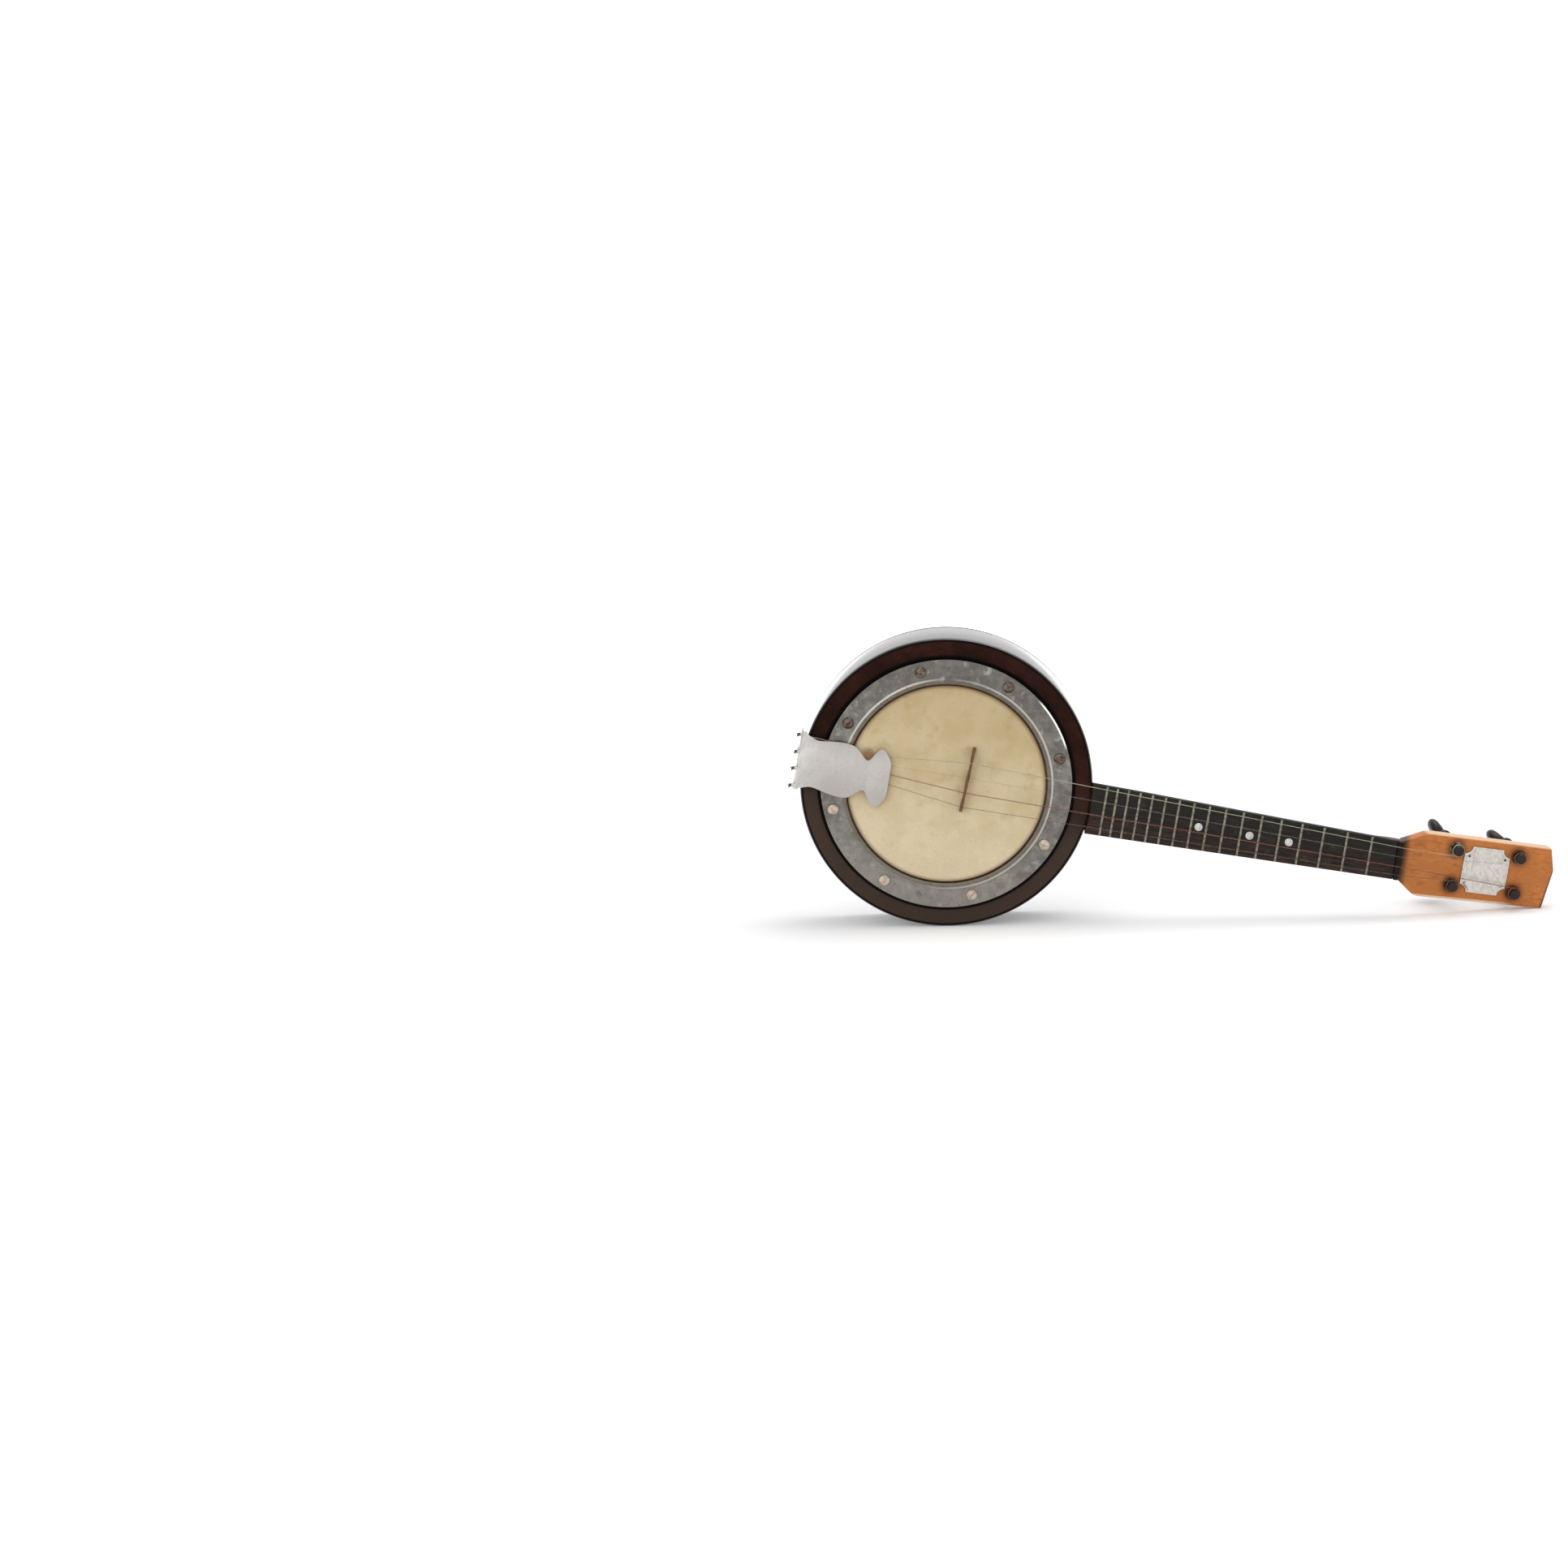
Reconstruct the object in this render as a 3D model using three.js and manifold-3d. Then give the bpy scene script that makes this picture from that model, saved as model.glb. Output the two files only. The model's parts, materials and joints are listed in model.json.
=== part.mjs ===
// A banjo ukulele with a closed wooden pot, a skin head, four friction pegs and 17 frets.
// Millimetres, +Z up. It rests on its rim and on the lower corner of its headstock.
// The pieces are drawn with the neck level: X runs from the pot to the headstock, Y from the
// front to the back, Z across the neck, and the front of the pot's rim lies at Y = 0.
// The whole is then turned until rim and headstock both touch the surface it rests on.

import * as THREE from 'three';
import { mergeVertices } from 'three/addons/utils/BufferGeometryUtils.js';
import Module from 'manifold-3d';

const wasm = await Module();
wasm.setup();

// Clearances, and how finely round things are cut
const seatGap = 0.3;
const inlayGap = 0.15;
const cutOverrun = 2;
const hoopSegments = 64;
const holeSegments = 12;
const hiddenSegments = 44;
const screwSegments = 14;
const pinSegments = 8;
const pegSegments = 16;
const cornerSteps = 3;
const beadSteps = 5;

// Head: bearing rim, skin and the flesh hoop that holds the skin's edge
const bearingRadius = 71.5;
const bearingWall = 3.5;
const bearingStand = 0.9;
const bearingRound = 1.2;
const skinThickness = 0.6;
const fleshTop = 2.5;
const fleshHeight = 3.5;
const fleshClearance = 1;
const skirtShortfall = 0.8;

// Tension hoop with its raised bead, and the screws that pull it down
const hoopClearance = 0.6;
const hoopWidth = 18.2;
const hoopPlate = 1.4;
const beadWidth = 3.8;
const beadHeight = 2.9;
const screwCount = 8;
const screwHeadRadius = 4.2;
const screwHeadHeight = 2.1;
const screwShankRadius = 1.5;
const screwShankLength = 14;
const screwTip = 2;

// Pot: laminated rim under the hoop, outer shell round it, back plate
const hoopLap = 2.2;
const rimDepth = 26;
const ringWidth = 16.7;
const ringSetback = 2.5;
const potWall = 6;
const shellDepth = 51;
const flangeThickness = 8;
const frontEdgeRound = 2.5;
const backThickness = 4;
const backEdgeRound = 2;

// Dowel stick through the pot
const dowelWidth = 15;
const dowelDepth = 13;
const mortiseDepth = 7;

// Neck, whose length follows from the frets
const scaleLength = 343;
const fretCount = 17;
const boardPastFrets = 9.5;
const nutThickness = 4;
const neckWidthAtPot = 37.4;
const neckWidthAtNut = 28.4;
const neckDepthAtNut = 15;
const neckDepthAtHeel = 18;
const heelCover = 4.7;
const heelLength = 46;
const shaftFullness = 2.1;
const heelFullness = 3;
const stationShare = 1.6;
const neckStations = 14;
const neckSides = 12;

// Fingerboard, frets, position dots and nut
const boardThickness = 3.7;
const fretCrownWidth = 2.2;
const fretCrownHeight = 1;
const fretTangWidth = 0.6;
const fretTangDepth = 1.9;
const fretInset = 0.3;
const fretCrownSteps = 4;
const dotFrets = [5, 7, 10];
const dotRadius = 3;
const dotThickness = 1.2;
const nutAction = 0.8;
const nutNotchShares = [0.36, 0.12, -0.14, -0.36];

// Headstock, pitched back from the nut
const headPitch = THREE.MathUtils.degToRad(12.5);
const headHalfWidth = 22.4;
const headGable = 4.2;
const headPeakShift = 6;
const headFlare = 14.6;
const headUpperFlare = 18;
const headShoulderDrop = 2.6;
const headThickness = 12;
const headRoot = 9;

// Pegs, two on each side of the headstock
const nearPegReach = 40.2;
const farPegInset = 23.8;
const pegInset = 9.1;
const pegPostRadius = 3.6;
const pegTailRadius = 4.4;
const pegPostHeight = 9;
const pegPostDome = 1;
const pegShaftReach = 28;
const pegCollarRadius = 5.6;
const pegCollarHeight = 2;
const pegBulbRadius = 6.2;
const pegBulbLength = 8;
const thumbHalfWidth = 12.6;
const thumbHalfHeight = 12;
const thumbHalfThickness = 6;
const thumbSink = 2;
const thumbSides = 14;
const thumbBands = 7;
const thumbTurns = [50, 29, 118, 160];
const bushingWall = 1.6;
const bushingHeight = 1.2;

// Plain plate between the pegs, with a pin in each corner; its length sets the pegs apart
const plateLength = 34.4;
const plateClearance = 1;
const plateMargin = 5.4;
const plateThickness = 1;
const plateScoop = 5.5;
const platePinInset = 7.2;
const pinHeadRadius = 1;
const pinHeadHeight = 0.5;
const pinShankRadius = 0.5;
const pinShankLength = 5;

// Bridge, which has slipped towards the neck and turned a little
const bridgeSlip = 27.6;
const bridgeShift = 5.8;
const bridgeSkew = THREE.MathUtils.degToRad(2.7);
const bridgeLength = 48.5;
const bridgeHeight = 7.4;
const bridgeThickness = 2.4;
const bridgeTopShare = 0.86;
const bridgeFootShare = 0.16;
const bridgeArchShare = 0.42;
const bridgeNotchShares = [0.28, 0.055, -0.18, -0.4];

// Tailpiece: a scalloped plate over the rim, with a skirt, a strap down the side and four hooks
const tailLength = 67.9;
const tailHalfWidth = 22;
const tailSkew = THREE.MathUtils.degToRad(3.4);
const tailOverhang = 2.3;
const tailMetal = 1.2;
const tailLift = 1.7;
const tailSkirt = 7;
const skirtMargin = 1.4;
const strapHalfWidth = 8;
const strapOverlap = 7;
const strapDrop = 6;
const tailOutlineShares = [
  [0, 1],
  [0.04, 0.95],
  [0.1, 0.87],
  [0.19, 0.785],
  [0.31, 0.84],
  [0.43, 0.895],
  [0.52, 0.9],
  [0.59, 0.86],
  [0.66, 0.7],
  [0.72, 0.53],
  [0.765, 0.54],
  [0.81, 0.76],
  [0.86, 0.95],
  [0.9, 0.965],
  [0.95, 0.82],
  [0.99, 0.62],
  [1, 0.45],
];
const outlineSteps = 32;
const hookShares = [0.86, 0.28, -0.28, -0.86];
const hookWidth = 2.4;
const hookMetal = 1;
const hookReach = 3.2;
const hookRise = 1.2;
const hookSteps = 4;
const windowMargin = 0.9;
const windowDepth = 1.8;
const tailScrewHeadRadius = 4;
const tailScrewHeadHeight = 2;
const tailScrewShankRadius = 1.8;
const tailScrewGrip = 12;

// Strings from the first to the fourth: thickness, and their places across the neck
const stringDiameters = [0.62, 0.72, 0.9, 0.72];
const stringAtTail = [13.4, 6.7, 0.2, -7.2];
const stringSides = 6;
const windingTurns = [2.6, 2.2, 2.4, 2.7];
const windingSteps = 24;
const windingGap = 0.5;
const windingInset = 2.4;
const hookTieDrop = 1.6;

// Finishes
const finish = (color, roughness, metalness) =>
  new THREE.MeshStandardMaterial({ color, roughness, metalness });
const brownLacquer = finish(0x3a211b, 0.25, 0);
const rimMaple = finish(0xb98a55, 0.6, 0);
const neckLacquer = finish(0xa8622f, 0.35, 0);
const vellum = finish(0xc9b68f, 0.7, 0);
const hoopNickel = finish(0x7c7872, 0.5, 0.8);
const brightNickel = finish(0xc4c0ba, 0.25, 1);
const screwNickel = finish(0x9a958c, 0.35, 1);
const fretBrass = finish(0x8d8069, 0.4, 1);
const boardBlack = finish(0x2f2d29, 0.55, 0);
const ebony = finish(0x1b1816, 0.45, 0);
const bridgeWood = finish(0x3b2418, 0.6, 0);
const pegBlack = finish(0x141313, 0.3, 0);
const pearl = finish(0xe4e2d8, 0.25, 0);
const gut = finish(0xb9a878, 0.5, 0);

// Turns a three.js geometry into a solid that can be joined and cut, facing outwards
function solidOf(geometry) {
  const bare = geometry.clone();
  bare.deleteAttribute('normal');
  bare.deleteAttribute('uv');
  const merged = mergeVertices(bare);
  const places = merged.attributes.position;
  const corners = merged.index.array;
  const a = new THREE.Vector3();
  const b = new THREE.Vector3();
  const c = new THREE.Vector3();
  const faces = [];
  let volume = 0;
  for (let i = 0; i < corners.length; i += 3) {
    const face = [corners[i], corners[i + 1], corners[i + 2]];
    if (new Set(face).size === face.length) {
      faces.push(face);
      a.fromBufferAttribute(places, face[0]);
      b.fromBufferAttribute(places, face[1]);
      c.fromBufferAttribute(places, face[2]);
      volume += a.dot(b.cross(c));
    }
  }
  const outward = volume < 0 ? faces.map(([p, q, r]) => [p, r, q]) : faces;
  const mesh = new wasm.Mesh({
    numProp: 3,
    vertProperties: Float32Array.from(places.array),
    triVerts: Uint32Array.from(outward.flat()),
  });
  return new wasm.Manifold(mesh);
}

// Takes the geometries away from the solid, one after the other
function cut(solid, geometries) {
  return geometries.reduce((left, geometry) => left.subtract(solidOf(geometry)), solid);
}

// A named mesh of a finished solid
function piece(name, solid, material) {
  const cutMesh = solid.getMesh();
  const indexed = new THREE.BufferGeometry();
  const places = new THREE.BufferAttribute(Float32Array.from(cutMesh.vertProperties), 3);
  indexed.setAttribute('position', places);
  indexed.setIndex(new THREE.BufferAttribute(Uint32Array.from(cutMesh.triVerts), 1));
  const geometry = indexed.toNonIndexed();
  geometry.computeVertexNormals();
  const mesh = new THREE.Mesh(geometry, material);
  mesh.name = name;
  return mesh;
}

// A solid turned about the Y axis from [radius, depth] points; it closes on itself or the axis
function turned(profile, segments) {
  const ring = profile[0][0] > 0 ? [...profile, profile[0]] : profile;
  const points = ring.map(([radius, depth]) => new THREE.Vector2(radius, depth));
  return solidOf(new THREE.LatheGeometry(points, segments));
}

// A rod along Y between two depths
function rod(radius, front, back, segments, x = 0, z = 0) {
  const geometry = new THREE.CylinderGeometry(radius, radius, back - front, segments);
  return geometry.translate(x, (front + back) / 2, z);
}

// A block between two corners
function block(x0, x1, y0, y1, z0, z1) {
  const geometry = new THREE.BoxGeometry(x1 - x0, y1 - y0, z1 - z0);
  return geometry.translate((x0 + x1) / 2, (y0 + y1) / 2, (z0 + z1) / 2);
}

// A flat outline drawn in X and Z, thickened from one depth to another
function slab(outline, front, back, curveSegments = cornerSteps) {
  const options = { depth: back - front, bevelEnabled: false, curveSegments };
  const geometry = new THREE.ExtrudeGeometry(outline, options);
  return geometry.rotateX(Math.PI / 2).translate(0, back, 0);
}

// An outline drawn across the neck, [Z, height], thickened along X and centred there
function bar(outline, thickness) {
  const options = { depth: thickness, bevelEnabled: false, curveSegments: cornerSteps };
  const geometry = new THREE.ExtrudeGeometry(outline, options).translate(0, 0, -thickness / 2);
  const acrossToZ = new THREE.Vector3(0, 0, 1);
  const heightToFront = new THREE.Vector3(0, -1, 0);
  const depthToX = new THREE.Vector3(1, 0, 0);
  return geometry.applyMatrix4(new THREE.Matrix4().makeBasis(acrossToZ, heightToFront, depthToX));
}

// A closed skin over rings of points, each ring with as many points as the next
function skinned(rings) {
  const sides = rings[0].length;
  const places = rings.flat().flatMap((point) => point.toArray());
  const faces = [];
  for (let ring = 0; ring + 1 < rings.length; ring += 1) {
    for (let side = 0; side < sides; side += 1) {
      const next = (side + 1) % sides;
      const here = ring * sides;
      const there = here + sides;
      faces.push(here + side, there + side, there + next);
      faces.push(here + side, there + next, here + next);
    }
  }
  const last = (rings.length - 1) * sides;
  for (let side = 1; side + 1 < sides; side += 1) {
    faces.push(0, side, side + 1);
    faces.push(last, last + side + 1, last + side);
  }
  const geometry = new THREE.BufferGeometry();
  geometry.setAttribute('position', new THREE.Float32BufferAttribute(places, 3));
  geometry.setIndex(faces);
  return geometry;
}

// Points of a quarter circle from one direction to the next, in [radius, depth]
function corner(centre, radius, fromDegrees, toDegrees, steps = cornerSteps) {
  const points = [];
  for (let step = 0; step <= steps; step += 1) {
    const degrees = fromDegrees + ((toDegrees - fromDegrees) * step) / steps;
    const angle = THREE.MathUtils.degToRad(degrees);
    points.push([centre[0] + radius * Math.cos(angle), centre[1] + radius * Math.sin(angle)]);
  }
  return points;
}

// Radii of the pot, from the head outwards
const rimInner = bearingRadius - bearingWall;
const skinInner = bearingRadius + seatGap;
const skinOuter = skinInner + skinThickness;
const hoopInner = skinOuter + hoopClearance;
const beadOuter = hoopInner + beadWidth;
const hoopOuter = hoopInner + hoopWidth;
const screwCircle = (beadOuter + hoopOuter) / 2;
const rimOuter = hoopOuter - hoopLap;
const flangeBore = rimOuter + seatGap;
const potRadius = flangeBore + ringWidth;
const innerRadius = potRadius - potWall;
const strapRadius = potRadius + seatGap + tailMetal;
const tailReach = potRadius + tailOverhang + tailMetal;

// Depths and heights, from the front of the pot's rim
const skinTop = bearingStand + seatGap + skinThickness;
const hoopTop = seatGap + hoopPlate;
const fleshBack = fleshTop + fleshHeight;
const ledgeDepth = fleshBack + fleshClearance;
const skirtFoot = fleshBack - skirtShortfall;
const dowelFront = rimDepth + seatGap;
const dowelBack = dowelFront + dowelDepth;
const dowelMiddle = (dowelFront + dowelBack) / 2;
const heelDepth = dowelBack + heelCover;
const boardTop = seatGap + boardThickness;
const fretTop = boardTop + inlayGap + fretCrownHeight;
const nutTop = fretTop + nutAction;
const bridgeTop = skinTop + seatGap + bridgeHeight;
const tailPlateBack = beadHeight + tailLift;
const tailPlateFront = tailPlateBack + tailMetal;
const windingTop = pegPostHeight - windingInset;

// Places along the neck, from the middle of the pot, and along the headstock, from its bend
const frettedLength = scaleLength * (1 - 2 ** (-fretCount / 12));
const nutFace = potRadius + boardPastFrets + frettedLength;
const bendPlace = nutFace + nutThickness;
const bridgeReach = nutFace - scaleLength + bridgeSlip;
const bushingBore = pegPostRadius + seatGap;
const bushingOuter = bushingBore + bushingWall;
const farPegReach = nearPegReach + plateLength + 2 * (bushingOuter + plateClearance);
const headLength = farPegReach + farPegInset;
const pegSpread = headHalfWidth - pegInset;
const plateMiddle = (nearPegReach + farPegReach) / 2;
const plateHalfWidth = headHalfWidth - plateMargin;

function neckWidth(x) {
  const share = (x - potRadius) / (nutFace - potRadius);
  return neckWidthAtPot + (neckWidthAtNut - neckWidthAtPot) * share;
}

function fretPlace(number) {
  return nutFace - scaleLength * (1 - 2 ** (-number / 12));
}

function screwPlaces() {
  const places = [];
  for (let number = 0; number < screwCount; number += 1) {
    const angle = (2 * Math.PI * (number + 0.5)) / screwCount;
    places.push([screwCircle * Math.cos(angle), screwCircle * Math.sin(angle)]);
  }
  return places;
}

function dowelHole(clearance) {
  const half = dowelWidth / 2 + clearance;
  const end = potRadius + mortiseDepth + clearance;
  return block(0, end, dowelFront - clearance, dowelBack + clearance, -half, half);
}

function tailScrewHole(radius) {
  const reach = strapRadius + cutOverrun;
  const end = innerRadius - tailScrewGrip - cutOverrun;
  const geometry = new THREE.CylinderGeometry(radius, radius, reach - end, holeSegments);
  return geometry.rotateZ(Math.PI / 2).translate(-(reach + end) / 2, dowelMiddle, 0);
}

function bodyShell() {
  const edgeCentre = [potRadius - frontEdgeRound, ringSetback + frontEdgeRound];
  const flangeBack = ringSetback + flangeThickness;
  const profile = [
    [flangeBore, ringSetback],
    ...corner(edgeCentre, frontEdgeRound, -90, 0),
    [potRadius, shellDepth],
    [innerRadius, shellDepth],
    [innerRadius, flangeBack],
    [flangeBore, flangeBack],
  ];
  const holes = [dowelHole(seatGap), tailScrewHole(tailScrewShankRadius + seatGap)];
  return cut(turned(profile, hoopSegments), holes);
}

function potRim() {
  const channel = beadOuter + seatGap;
  const profile = [
    [rimInner, ledgeDepth],
    [channel, ledgeDepth],
    [channel, 0],
    [rimOuter, 0],
    [rimOuter, rimDepth],
    [rimInner, rimDepth],
  ];
  const radius = screwShankRadius + seatGap;
  const depth = screwShankLength + seatGap;
  const holes = screwPlaces().map(([x, z]) => rod(radius, -cutOverrun, depth, holeSegments, x, z));
  return cut(turned(profile, hoopSegments), holes);
}

function backPlate() {
  const front = shellDepth + seatGap;
  const back = shellDepth + backThickness;
  const edge = corner([potRadius - backEdgeRound, back - backEdgeRound], backEdgeRound, 0, 90);
  return turned([[0, front], [potRadius, front], ...edge, [0, back]], hoopSegments);
}

function bearingRim() {
  const foot = ledgeDepth - seatGap;
  const centre = [bearingRadius - bearingRound, bearingRound - bearingStand];
  const profile = [
    [rimInner, foot],
    [rimInner, -bearingStand],
    ...corner(centre, bearingRound, -90, 0),
    [bearingRadius, foot],
  ];
  return turned(profile, hiddenSegments);
}

function headSkin() {
  const innerRound = bearingRound + seatGap;
  const outerRound = innerRound + skinThickness;
  const centre = [skinInner - innerRound, innerRound - bearingStand - seatGap];
  const profile = [
    [0, -skinTop],
    ...corner(centre, outerRound, -90, 0),
    [skinOuter, skirtFoot],
    [skinInner, skirtFoot],
    ...corner(centre, innerRound, 0, -90),
    [0, skinThickness - skinTop],
  ];
  return turned(profile, hoopSegments);
}

function fleshHoop() {
  const inner = skinOuter + seatGap;
  const profile = [
    [inner, fleshTop],
    [beadOuter, fleshTop],
    [beadOuter, fleshBack],
    [inner, fleshBack],
  ];
  return turned(profile, hoopSegments);
}

function tensionHoop() {
  const foot = fleshTop - seatGap;
  const round = beadWidth / 2;
  const crown = corner([hoopInner + round, round - beadHeight], round, -180, 0, beadSteps);
  const profile = [
    [hoopInner, foot],
    ...crown,
    [beadOuter, -hoopTop],
    [hoopOuter, -hoopTop],
    [hoopOuter, -seatGap],
    [beadOuter, -seatGap],
    [beadOuter, foot],
  ];
  const radius = screwShankRadius + seatGap;
  const holes = screwPlaces().map(([x, z]) =>
    rod(radius, -hoopTop - cutOverrun, cutOverrun, holeSegments, x, z),
  );
  return cut(turned(profile, hoopSegments), holes);
}

// A domed screw or nail along Y with the underside of its head at Y = 0
function domedScrew(headRadius, headHeight, shankRadius, shankLength, tip, segments) {
  const dome = [];
  for (let step = 0; step <= cornerSteps; step += 1) {
    const angle = (Math.PI / 2) * (step / cornerSteps);
    dome.push([headRadius * Math.sin(angle), -headHeight * Math.cos(angle)]);
  }
  const profile = [
    ...dome,
    [shankRadius, 0],
    [shankRadius, shankLength - tip],
    [0, shankLength],
  ];
  return turned(profile, segments);
}

function dowelStick() {
  const half = dowelWidth / 2;
  const tailEnd = Math.sqrt(innerRadius ** 2 - half ** 2) - seatGap;
  const neckEnd = potRadius + mortiseDepth;
  const stick = solidOf(block(-tailEnd, neckEnd, dowelFront, dowelBack, -half, half));
  return cut(stick, [tailScrewHole(tailScrewShankRadius + seatGap)]);
}

// One cross-section of the neck, flat in front and rounded behind
function neckSection(x) {
  const toHeel = Math.max(0, 1 - (x - potRadius) / heelLength);
  const rise = THREE.MathUtils.smoothstep(toHeel, 0, 1);
  const shaftShare = (nutFace - x) / (nutFace - potRadius);
  const shaft = neckDepthAtNut + (neckDepthAtHeel - neckDepthAtNut) * shaftShare;
  const depth = shaft + (heelDepth - shaft) * rise;
  const fullness = shaftFullness + (heelFullness - shaftFullness) * rise;
  const points = [];
  for (let side = 0; side <= neckSides; side += 1) {
    const angle = (Math.PI * side) / neckSides;
    const across = Math.sign(Math.cos(angle)) * Math.abs(Math.cos(angle)) ** (2 / fullness);
    const deep = side === neckSides ? 0 : Math.sin(angle) ** (2 / fullness);
    points.push(new THREE.Vector3(x, depth * deep, (neckWidth(x) / 2) * across));
  }
  return points;
}

// The neck's end against the pot starts inside the pot, and the pot's round side is cut from it
function potCutter() {
  return rod(potRadius + seatGap, -boardTop - cutOverrun, heelDepth + cutOverrun, hoopSegments);
}

function neckStart() {
  return Math.sqrt(potRadius ** 2 - (neckWidthAtPot / 2) ** 2) - cutOverrun;
}

function neckShaft() {
  const rings = [];
  const start = neckStart();
  for (let station = 0; station <= neckStations; station += 1) {
    const share = (station / neckStations) ** stationShare;
    rings.push(neckSection(start + (bendPlace - start) * share));
  }
  return cut(solidOf(skinned(rings)), [potCutter(), dowelHole(seatGap)]);
}

// Moves a geometry drawn level, from the nut's end of the headstock, to its place on the neck
function pitched(geometry) {
  return geometry.rotateZ(headPitch).translate(bendPlace, 0, 0);
}

function headOutline() {
  const half = neckWidth(bendPlace) / 2;
  const outline = new THREE.Shape();
  outline.moveTo(-headRoot, -half);
  outline.lineTo(0, -half);
  outline.lineTo(headFlare, -headHalfWidth - headShoulderDrop);
  outline.lineTo(headLength, -headHalfWidth);
  outline.lineTo(headLength + headGable, headPeakShift);
  outline.lineTo(headLength, headHalfWidth);
  outline.lineTo(headUpperFlare, headHalfWidth);
  outline.lineTo(0, half);
  outline.lineTo(-headRoot, half);
  return outline;
}

// Where each peg stands on the headstock, in the order of the strings
const pegPlaces = [
  [nearPegReach, pegSpread],
  [farPegReach, pegSpread],
  [farPegReach, -pegSpread],
  [nearPegReach, -pegSpread],
];

// The pins stand beside the scooped corners of the plate
const platePinPlaces = [1, -1].flatMap((along) =>
  [1, -1].map((across) => [
    plateMiddle + (along * (plateLength - platePinInset)) / 2,
    across * (plateHalfWidth - platePinInset),
  ]),
);

function neck() {
  const board = slab(headOutline(), 0, headThickness);
  const half = headHalfWidth + headShoulderDrop + cutOverrun;
  const above = block(0, bendPlace, -headThickness - cutOverrun, 0, -half, half);
  const back = headThickness + cutOverrun;
  const pegHoles = pegPlaces.map(([x, z]) =>
    pitched(rod(pegTailRadius + seatGap, -cutOverrun, back, pegSegments, x, z)),
  );
  const pinHoles = platePinPlaces.map(([x, z]) =>
    pitched(rod(pinShankRadius + seatGap, -cutOverrun, pinShankLength, holeSegments, x, z)),
  );
  const head = cut(solidOf(pitched(board)), [above, ...pegHoles, ...pinHoles]);
  return neckShaft().add(head);
}

function fingerboard() {
  const rings = [neckStart(), nutFace].map((x) => {
    const half = neckWidth(x) / 2;
    const corners = [[-seatGap, -half], [-seatGap, half], [-boardTop, half], [-boardTop, -half]];
    return corners.map(([y, z]) => new THREE.Vector3(x, y, z));
  });
  const slots = [];
  const slotHalf = fretTangWidth / 2 + inlayGap;
  for (let number = 1; number <= fretCount; number += 1) {
    const x = fretPlace(number);
    const bottom = -boardTop + fretTangDepth + inlayGap;
    const half = neckWidthAtPot;
    slots.push(block(x - slotHalf, x + slotHalf, -boardTop - cutOverrun, bottom, -half, half));
  }
  const pockets = dotFrets.map((number) => {
    const { x, back } = dotPlace(number);
    return rod(dotRadius + inlayGap, -boardTop - cutOverrun, back + inlayGap, pegSegments, x);
  });
  return cut(solidOf(skinned(rings)), [potCutter(), ...slots, ...pockets]);
}

function dotPlace(number) {
  const x = (fretPlace(number) + fretPlace(number - 1)) / 2;
  return { x, back: -boardTop + dotThickness };
}

function positionDot(number) {
  const { x, back } = dotPlace(number);
  return solidOf(rod(dotRadius, -boardTop, back, pegSegments, x));
}

// A fret wire: a rounded crown over a tang, lying across the fingerboard
function fret(number) {
  const x = fretPlace(number);
  const half = neckWidth(x) / 2 - fretInset;
  const top = -boardTop - inlayGap;
  const outline = new THREE.Shape();
  outline.moveTo(-fretTangWidth / 2, -boardTop + fretTangDepth);
  outline.lineTo(fretTangWidth / 2, -boardTop + fretTangDepth);
  outline.lineTo(fretTangWidth / 2, top);
  for (let step = 0; step <= fretCrownSteps; step += 1) {
    const angle = (Math.PI * step) / fretCrownSteps;
    const across = (fretCrownWidth / 2) * Math.cos(angle);
    outline.lineTo(across, top - fretCrownHeight * Math.sin(angle));
  }
  outline.lineTo(-fretTangWidth / 2, top);
  const geometry = new THREE.ExtrudeGeometry(outline, { depth: 2 * half, bevelEnabled: false });
  return solidOf(geometry.translate(x, 0, -half));
}

// Cuts a round-bottomed notch for each string into the top edge of an outline, [Z, height]
function notchedTop(outline, places, top) {
  places.forEach((place, number) => {
    const radius = stringDiameters[number] / 2 + seatGap;
    outline.lineTo(place + radius, top);
    outline.absarc(place, top, radius, 0, Math.PI, true);
  });
}

function nut() {
  const half = neckWidth(bendPlace) / 2;
  const outline = new THREE.Shape();
  outline.moveTo(-half, seatGap);
  outline.lineTo(half, seatGap);
  outline.lineTo(half, nutTop);
  notchedTop(outline, nutNotchShares.map((share) => share * 2 * half), nutTop);
  outline.lineTo(-half, nutTop);
  const thickness = nutThickness - seatGap;
  return solidOf(bar(outline, thickness).translate(nutFace + seatGap + thickness / 2, 0, 0));
}

// The bridge stands on three feet with two low arches between them
function bridge() {
  const half = bridgeLength / 2;
  const topHalf = half * bridgeTopShare;
  const foot = half * bridgeFootShare;
  const rise = bridgeHeight * bridgeArchShare;
  const outline = new THREE.Shape();
  outline.moveTo(-half, 0);
  outline.lineTo(-half + 2 * foot, 0);
  outline.quadraticCurveTo(-half / 2 + foot / 2, 2 * rise, -foot, 0);
  outline.lineTo(foot, 0);
  outline.quadraticCurveTo(half / 2 - foot / 2, 2 * rise, half - 2 * foot, 0);
  outline.lineTo(half, 0);
  outline.lineTo(topHalf, bridgeHeight);
  notchedTop(outline, bridgeNotchShares.map((share) => share * bridgeLength), bridgeHeight);
  outline.lineTo(-topHalf, bridgeHeight);
  return solidOf(bar(outline, bridgeThickness));
}

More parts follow.
